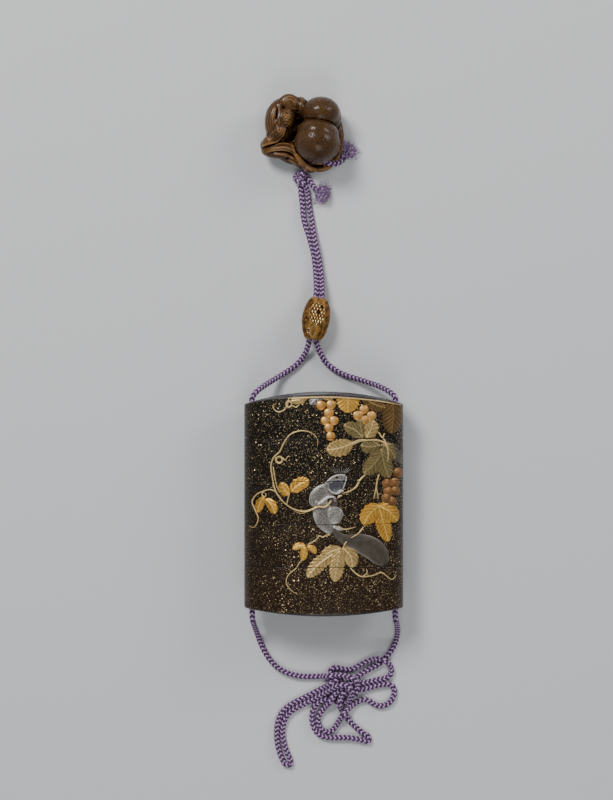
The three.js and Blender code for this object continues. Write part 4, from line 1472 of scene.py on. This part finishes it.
# %% Toggle: ridges and grooves
CURL_OUTER = [(-20.6, 137.4), (-22.0, 141.2), (-22.4, 145.2), (-21.0, 149.4), (-17.8, 152.8), (-14.4, 155.0)]
CURL_INNER = [(-17.0, 140.8), (-18.2, 143.6), (-18.2, 146.6), (-17.2, 149.6), (-16.2, 151.0), (-15.2, 151.6)]
STALK_UPPER = [(-23.2, 137.6), (-20.2, 139.6), (-17.6, 142.2), (-16.5, 145.4), (-15.6, 148.8)]
STALK_LOWER = [(-22.6, 135.6), (-18.4, 137.2), (-15.4, 139.6), (-14.4, 142.4), (-12.8, 144.4)]
SWIRL_UPPER = [(-16.0, 146.0), (-14.4, 146.7), (-12.6, 146.2), (-11.4, 144.8)]
SWIRL_LOWER = [(-15.2, 142.6), (-14.2, 143.2), (-13.0, 142.6), (-12.4, 140.8)]
CAP_OUTER = [(-17.4, 150.6), (-15.8, 153.8), (-12.8, 155.0), (-10.0, 153.2), (-9.0, 149.6)]
CAP_INNER = [(-15.2, 150.8), (-14.2, 152.2), (-12.6, 152.8), (-11.2, 151.8), (-10.6, 149.8)]
CAP_UPPER = [(-14.0, 149.2), (-11.4, 149.4), (-8.4, 149.1)]
CAP_LOWER = [(-12.8, 146.6), (-10.8, 146.8), (-8.2, 146.3)]
PLEAT_UPPER = [(-23.6, 135.4), (-19.2, 136.9), (-15.8, 137.9), (-13.0, 137.6), (-11.4, 135.6)]
PLEAT_LOWER = [(-22.0, 132.0), (-17.0, 131.8), (-13.2, 131.0), (-10.6, 129.4), (-8.6, 127.4)]
HUG_UPPER = [(-11.8, 136.4), (-10.6, 134.0), (-8.8, 131.4), (-6.4, 129.2), (-3.0, 128.0)]
HUG_LOWER = [(-11.6, 133.2), (-10.4, 131.0), (-8.6, 128.8), (-6.4, 127.4), (-3.0, 126.8)]
CURL_GROOVE = [(-17.4, 150.4), (-17.9, 147.6), (-18.4, 144.8)]
PLEAT_GROOVE = [(-20.6, 133.0), (-16.0, 133.4), (-12.6, 132.8), (-9.6, 130.0)]
STALK_GROOVE = [(-22.8, 135.2), (-18.6, 136.6), (-14.6, 138.8)]
RIM_GROOVE = [(-6.4, 130.0), (-3.4, 128.7), (0.2, 128.7), (3.4, 130.5), (5.6, 133.6)]
RIM_OUTER = [(-4.8, 126.7), (-1.2, 126.2), (3.0, 127.7), (6.1, 131.9), (7.5, 138.0), (7.8, 144.0)]
RIM_INNER = [(-4.8, 127.9), (-1.3, 127.5), (2.0, 128.9), (5.0, 132.8), (6.3, 138.0), (6.7, 143.6)]
RIDGE_POINTS = 22
ridge_families = [  # first ridge, last ridge, how many, height, half width in mm
    (CURL_OUTER, CURL_INNER, 6, 0.42, 0.34),
    (STALK_UPPER, STALK_LOWER, 5, 0.45, 0.34),
    (SWIRL_UPPER, SWIRL_LOWER, 5, 0.40, 0.30),
    (CAP_OUTER, CAP_INNER, 3, 0.30, 0.34),
    (CAP_UPPER, CAP_LOWER, 4, 0.34, 0.26),
    (PLEAT_UPPER, PLEAT_LOWER, 6, 0.55, 0.40),
    (HUG_UPPER, HUG_LOWER, 5, 0.42, 0.30),
    (RIM_OUTER, RIM_INNER, 3, 0.42, 0.34),
    (RIM_GROOVE, RIM_GROOVE, 1, -1.3, 0.55),
    (CURL_GROOVE, CURL_GROOVE, 1, -1.1, 0.5),
    (PLEAT_GROOVE, PLEAT_GROOVE, 1, -1.0, 0.5),
    (STALK_GROOVE, STALK_GROOVE, 1, -0.9, 0.4),
]


def raise_ridges(mesh):
    places, normals = vertex_values(mesh), vertex_values(mesh, "normal")
    lift = np.zeros(len(places))
    for first, last, count, height, half_width in ridge_families:
        for number in range(count):
            share = number / max(count - 1, 1)
            line = curve_through(np.array(first) * (1 - share) + np.array(last) * share, RIDGE_POINTS) * MM
            reach = 2.5 * half_width * MM
            inside = (places[:, :2] > line.min(axis=0) - reach) & (places[:, :2] < line.max(axis=0) + reach)
            near = np.flatnonzero(inside.all(axis=1) & (normals[:, 2] > 0))
            spots = places[near, :2]
            best = np.full(len(near), 1.0)
            along = np.zeros(len(near))
            for step, (start, end) in enumerate(zip(line, line[1:])):
                way = end - start
                part = np.clip(((spots - start) @ way) / (way @ way), 0, 1)
                gap = np.linalg.norm(spots - start - part[:, None] * way, axis=1)
                closer = gap < best
                best[closer] = gap[closer]
                along[closer] = (step + part[closer]) / (len(line) - 1)
            fade = np.sin(np.pi * np.clip(along, 0.04, 0.96)) ** 0.5
            upward = np.clip(normals[near, 2] * 3, 0, 1)
            lift[near] += height * MM * bell(best, half_width * MM) * fade * upward
    places = places + normals * lift[:, None]
    places[:, 2] = np.maximum(places[:, 2], 0.03 * MM)
    mesh.vertices.foreach_set("co", places.ravel())
    mesh.update()


raise_ridges(toggle.data)
print("ridges:", sum(count for _, _, count, _, _ in ridge_families))

# %% [markdown]
# Hands rub what stands out and never reach what lies deep. A baked shadow map could show that, but it
# would be an image. So each place is compared with the average of the places around it, and the result is
# stored with the mesh for the finish to read: for rubbed ridges, and for painted shade in the deep folds.

# %% Toggle: wear
WEAR_REACH = 16  # how many edges away a place is compared with what is around it
WEAR_RANGE = 0.36 * MM  # from the deepest fold to the highest ridge


def add_wear(mesh):
    """Stores how much each place stands out from around it: worn ridges high, deep folds low."""
    places, normals = vertex_values(mesh), vertex_values(mesh, "normal")
    count = len(places)
    ends = np.zeros(len(mesh.edges) * 2, int)
    mesh.edges.foreach_get("vertices", ends)
    ends = ends.reshape(-1, 2)
    degree = np.maximum(np.bincount(ends.ravel(), minlength=count), 1)[:, None]

    def spread(values):
        first, second = ends.T
        columns = [
            np.bincount(first, column[second], count) + np.bincount(second, column[first], count)
            for column in values.T
        ]
        return np.stack(columns, axis=1) / degree

    around = places
    for _ in range(WEAR_REACH):
        around = spread(around)
    stands_out = ((places - around) * normals).sum(axis=1, keepdims=True)
    for _ in range(2):
        stands_out = spread(stands_out)
    wear = np.clip(0.5 + stands_out[:, 0] / WEAR_RANGE, 0, 1)
    layer = mesh.attributes.new("wear", "FLOAT", "POINT")
    layer.data.foreach_set("value", wear)


add_wear(toggle.data)
print("wear stored at", len(toggle.data.vertices), "vertices")

# %% [markdown]
# Boxwood is close-grained and yellow. A toggle like this is stained brown, then handled for years, so its
# ridges rub pale and glossy over the dark red-brown stain, and the deep folds are painted nearly black, a
# painted shade. The fruits are stippled all over with a pointed tool. That stipple is far too fine to
# model, so it is a pattern of small pits.

# %% Boxwood
def boxwood_finish():
    wood = Finish("stained_boxwood")
    here = wood.here()
    wear = wood.add("Attribute", {}, output="Fac", attribute_name="wear")
    stretched = wood.add("VectorMath", {0: here, 1: (1.0, 0.12, 1.0)}, operation="MULTIPLY")
    grain = wood.noise(stretched, 2600.0, 3.0)
    cloud = wood.noise(here, 160.0, 2.0)
    stain = wood.mix(cloud, (0.040, 0.015, 0.004), (0.086, 0.041, 0.011))
    rubbed = wood.mix(grain, (0.15, 0.066, 0.018), (0.30, 0.155, 0.052))
    # painted shade: the deep folds, nearly black
    fold_shade = (0.010, 0.002, 0.001)
    colour = wood.mix(wood.step(wear, 0.12, 0.47), fold_shade, stain)
    colour = wood.mix(wood.step(wear, 0.60, 1.0), colour, rubbed)
    on_right = wood.step(wood.split(here)["X"], -11.0 * MM, -9.0 * MM)
    high_up = wood.step(wood.split(here)["Z"], 9.0 * MM, 12.0 * MM)
    on_fruit = wood.times(on_right, high_up)
    pits = wood.add("TexVoronoi", {"Vector": here, "Scale": 1400.0}, output="Distance")
    pricked = wood.times(wood.step(pits, 0.46, 0.14), on_fruit)
    speck = wood.times(wood.step(grain, 0.5, 0.8), 0.35)
    speck = wood.math("MAXIMUM", speck, wood.times(pricked, 0.75))
    wood.set(base_color=wood.mix(speck, colour, (0.02, 0.008, 0.004)))
    handled = wood.step(wear, 0.22, 0.44)
    wood.set(roughness=wood.blend(handled, 0.6, 0.25))
    wood.set(specular_ior_level=wood.times(handled, 0.27))
    wood.bump(wood.math("SUBTRACT", wood.times(grain, 0.15), pricked), 0.20 * MM, 1.0)
    return wood.material


toggle.data.name = "toggle"
toggle.data.materials.clear()
toggle.data.materials.append(boxwood_finish())
for face in toggle.data.polygons:
    face.use_smooth = True
    face.material_index = 0
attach(toggle, "root")
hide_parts("netsuke")
print("toggle:", len(toggle.data.polygons), "faces")

# %% [markdown]
# Both ends of the cord are frayed into tufts that keep them from slipping back. A tuft could be hair
# particles, but only meshes travel with the part, so each fibre is a thin three-sided thread that fans
# out of the cord's end, curls a little and sinks under its own weight.

# %% Tufts
FIBRES = 560
FIBRE_RINGS, FIBRE_SIDES = 9, 3
FIBRE_RADIUS = 0.095  # in mm, at the root


def tuft(name, root, heading, lengths, fan, curl, replaced):
    """Fibres from a root, in mm, along a heading (a flat angle in degrees)."""
    template, ring, _, share_round = wrapped_grid(FIBRE_RINGS, FIBRE_SIDES)
    thickness = (FIBRE_RADIUS * (1 - 0.4 * ring / FIBRE_RINGS) * MM)[:, None]
    whole = bmesh.new()
    for _ in range(FIBRES):
        aside = rng.normal(0, fan)
        lean = rng.normal(0.15, fan * 0.8)
        length = lengths[0] + (lengths[1] - lengths[0]) * rng.random() ** 0.7
        flat_angle = math.radians(heading) + np.clip(aside, -1.4, 1.4)
        swirl = rng.normal(0, curl)
        spot = np.array(root, float) + np.append(rng.normal(0, 0.38, 2), rng.normal(0, 0.3))
        line = []
        for step in range(FIBRE_RINGS):
            share = step / (FIBRE_RINGS - 1)
            line.append(spot.copy())
            turn = flat_angle + swirl * share**1.5
            rise = lean - 0.9 * share
            way = (math.cos(turn) * math.cos(rise), math.sin(turn) * math.cos(rise), math.sin(rise))
            spot = spot + np.array(way) * length / (FIBRE_RINGS - 1)
            spot[2] = max(spot[2], 0.15 + 0.3 * rng.random())
        wrap_round(template, np.array(line) * MM, ring, share_round, thickness)
        whole.from_mesh(template)
    bmesh.ops.remove_doubles(whole, verts=whole.verts, dist=0.0005 * MM)
    bmesh.ops.holes_fill(whole, edges=[edge for edge in whole.edges if edge.is_boundary], sides=FIBRE_SIDES)
    bpy.data.meshes.remove(template)
    piece = named_mesh(name, whole, [fibre_material])
    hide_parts(replaced)
    return piece


def fibre_finish():
    fibre = Finish("silk_fibres", roughness=0.6, sheen_weight=0.4)
    cloud = fibre.noise(fibre.here(), 1300.0, 3.0)
    tone = fibre.mix(fibre.step(cloud, 0.35, 0.55), DEEP_PURPLE, (0.20, 0.085, 0.26))
    fibre.set(base_color=fibre.mix(fibre.step(cloud, 0.52, 0.64), tone, PALE_LILAC))
    return fibre.material


fibre_material = fibre_finish()
tufts = [
    tuft("left_tuft", (7.4, 131.8, 1.9), 66, (4.0, 8.0), 0.34, 0.7, "cord_left_end"),
    tuft("right_tuft", (-3.0, 120.0, 1.9), -32, (3.4, 7.0), 0.42, 1.0, "cord_right_end"),
]
print("tufts:", [len(piece.data.polygons) for piece in tufts])
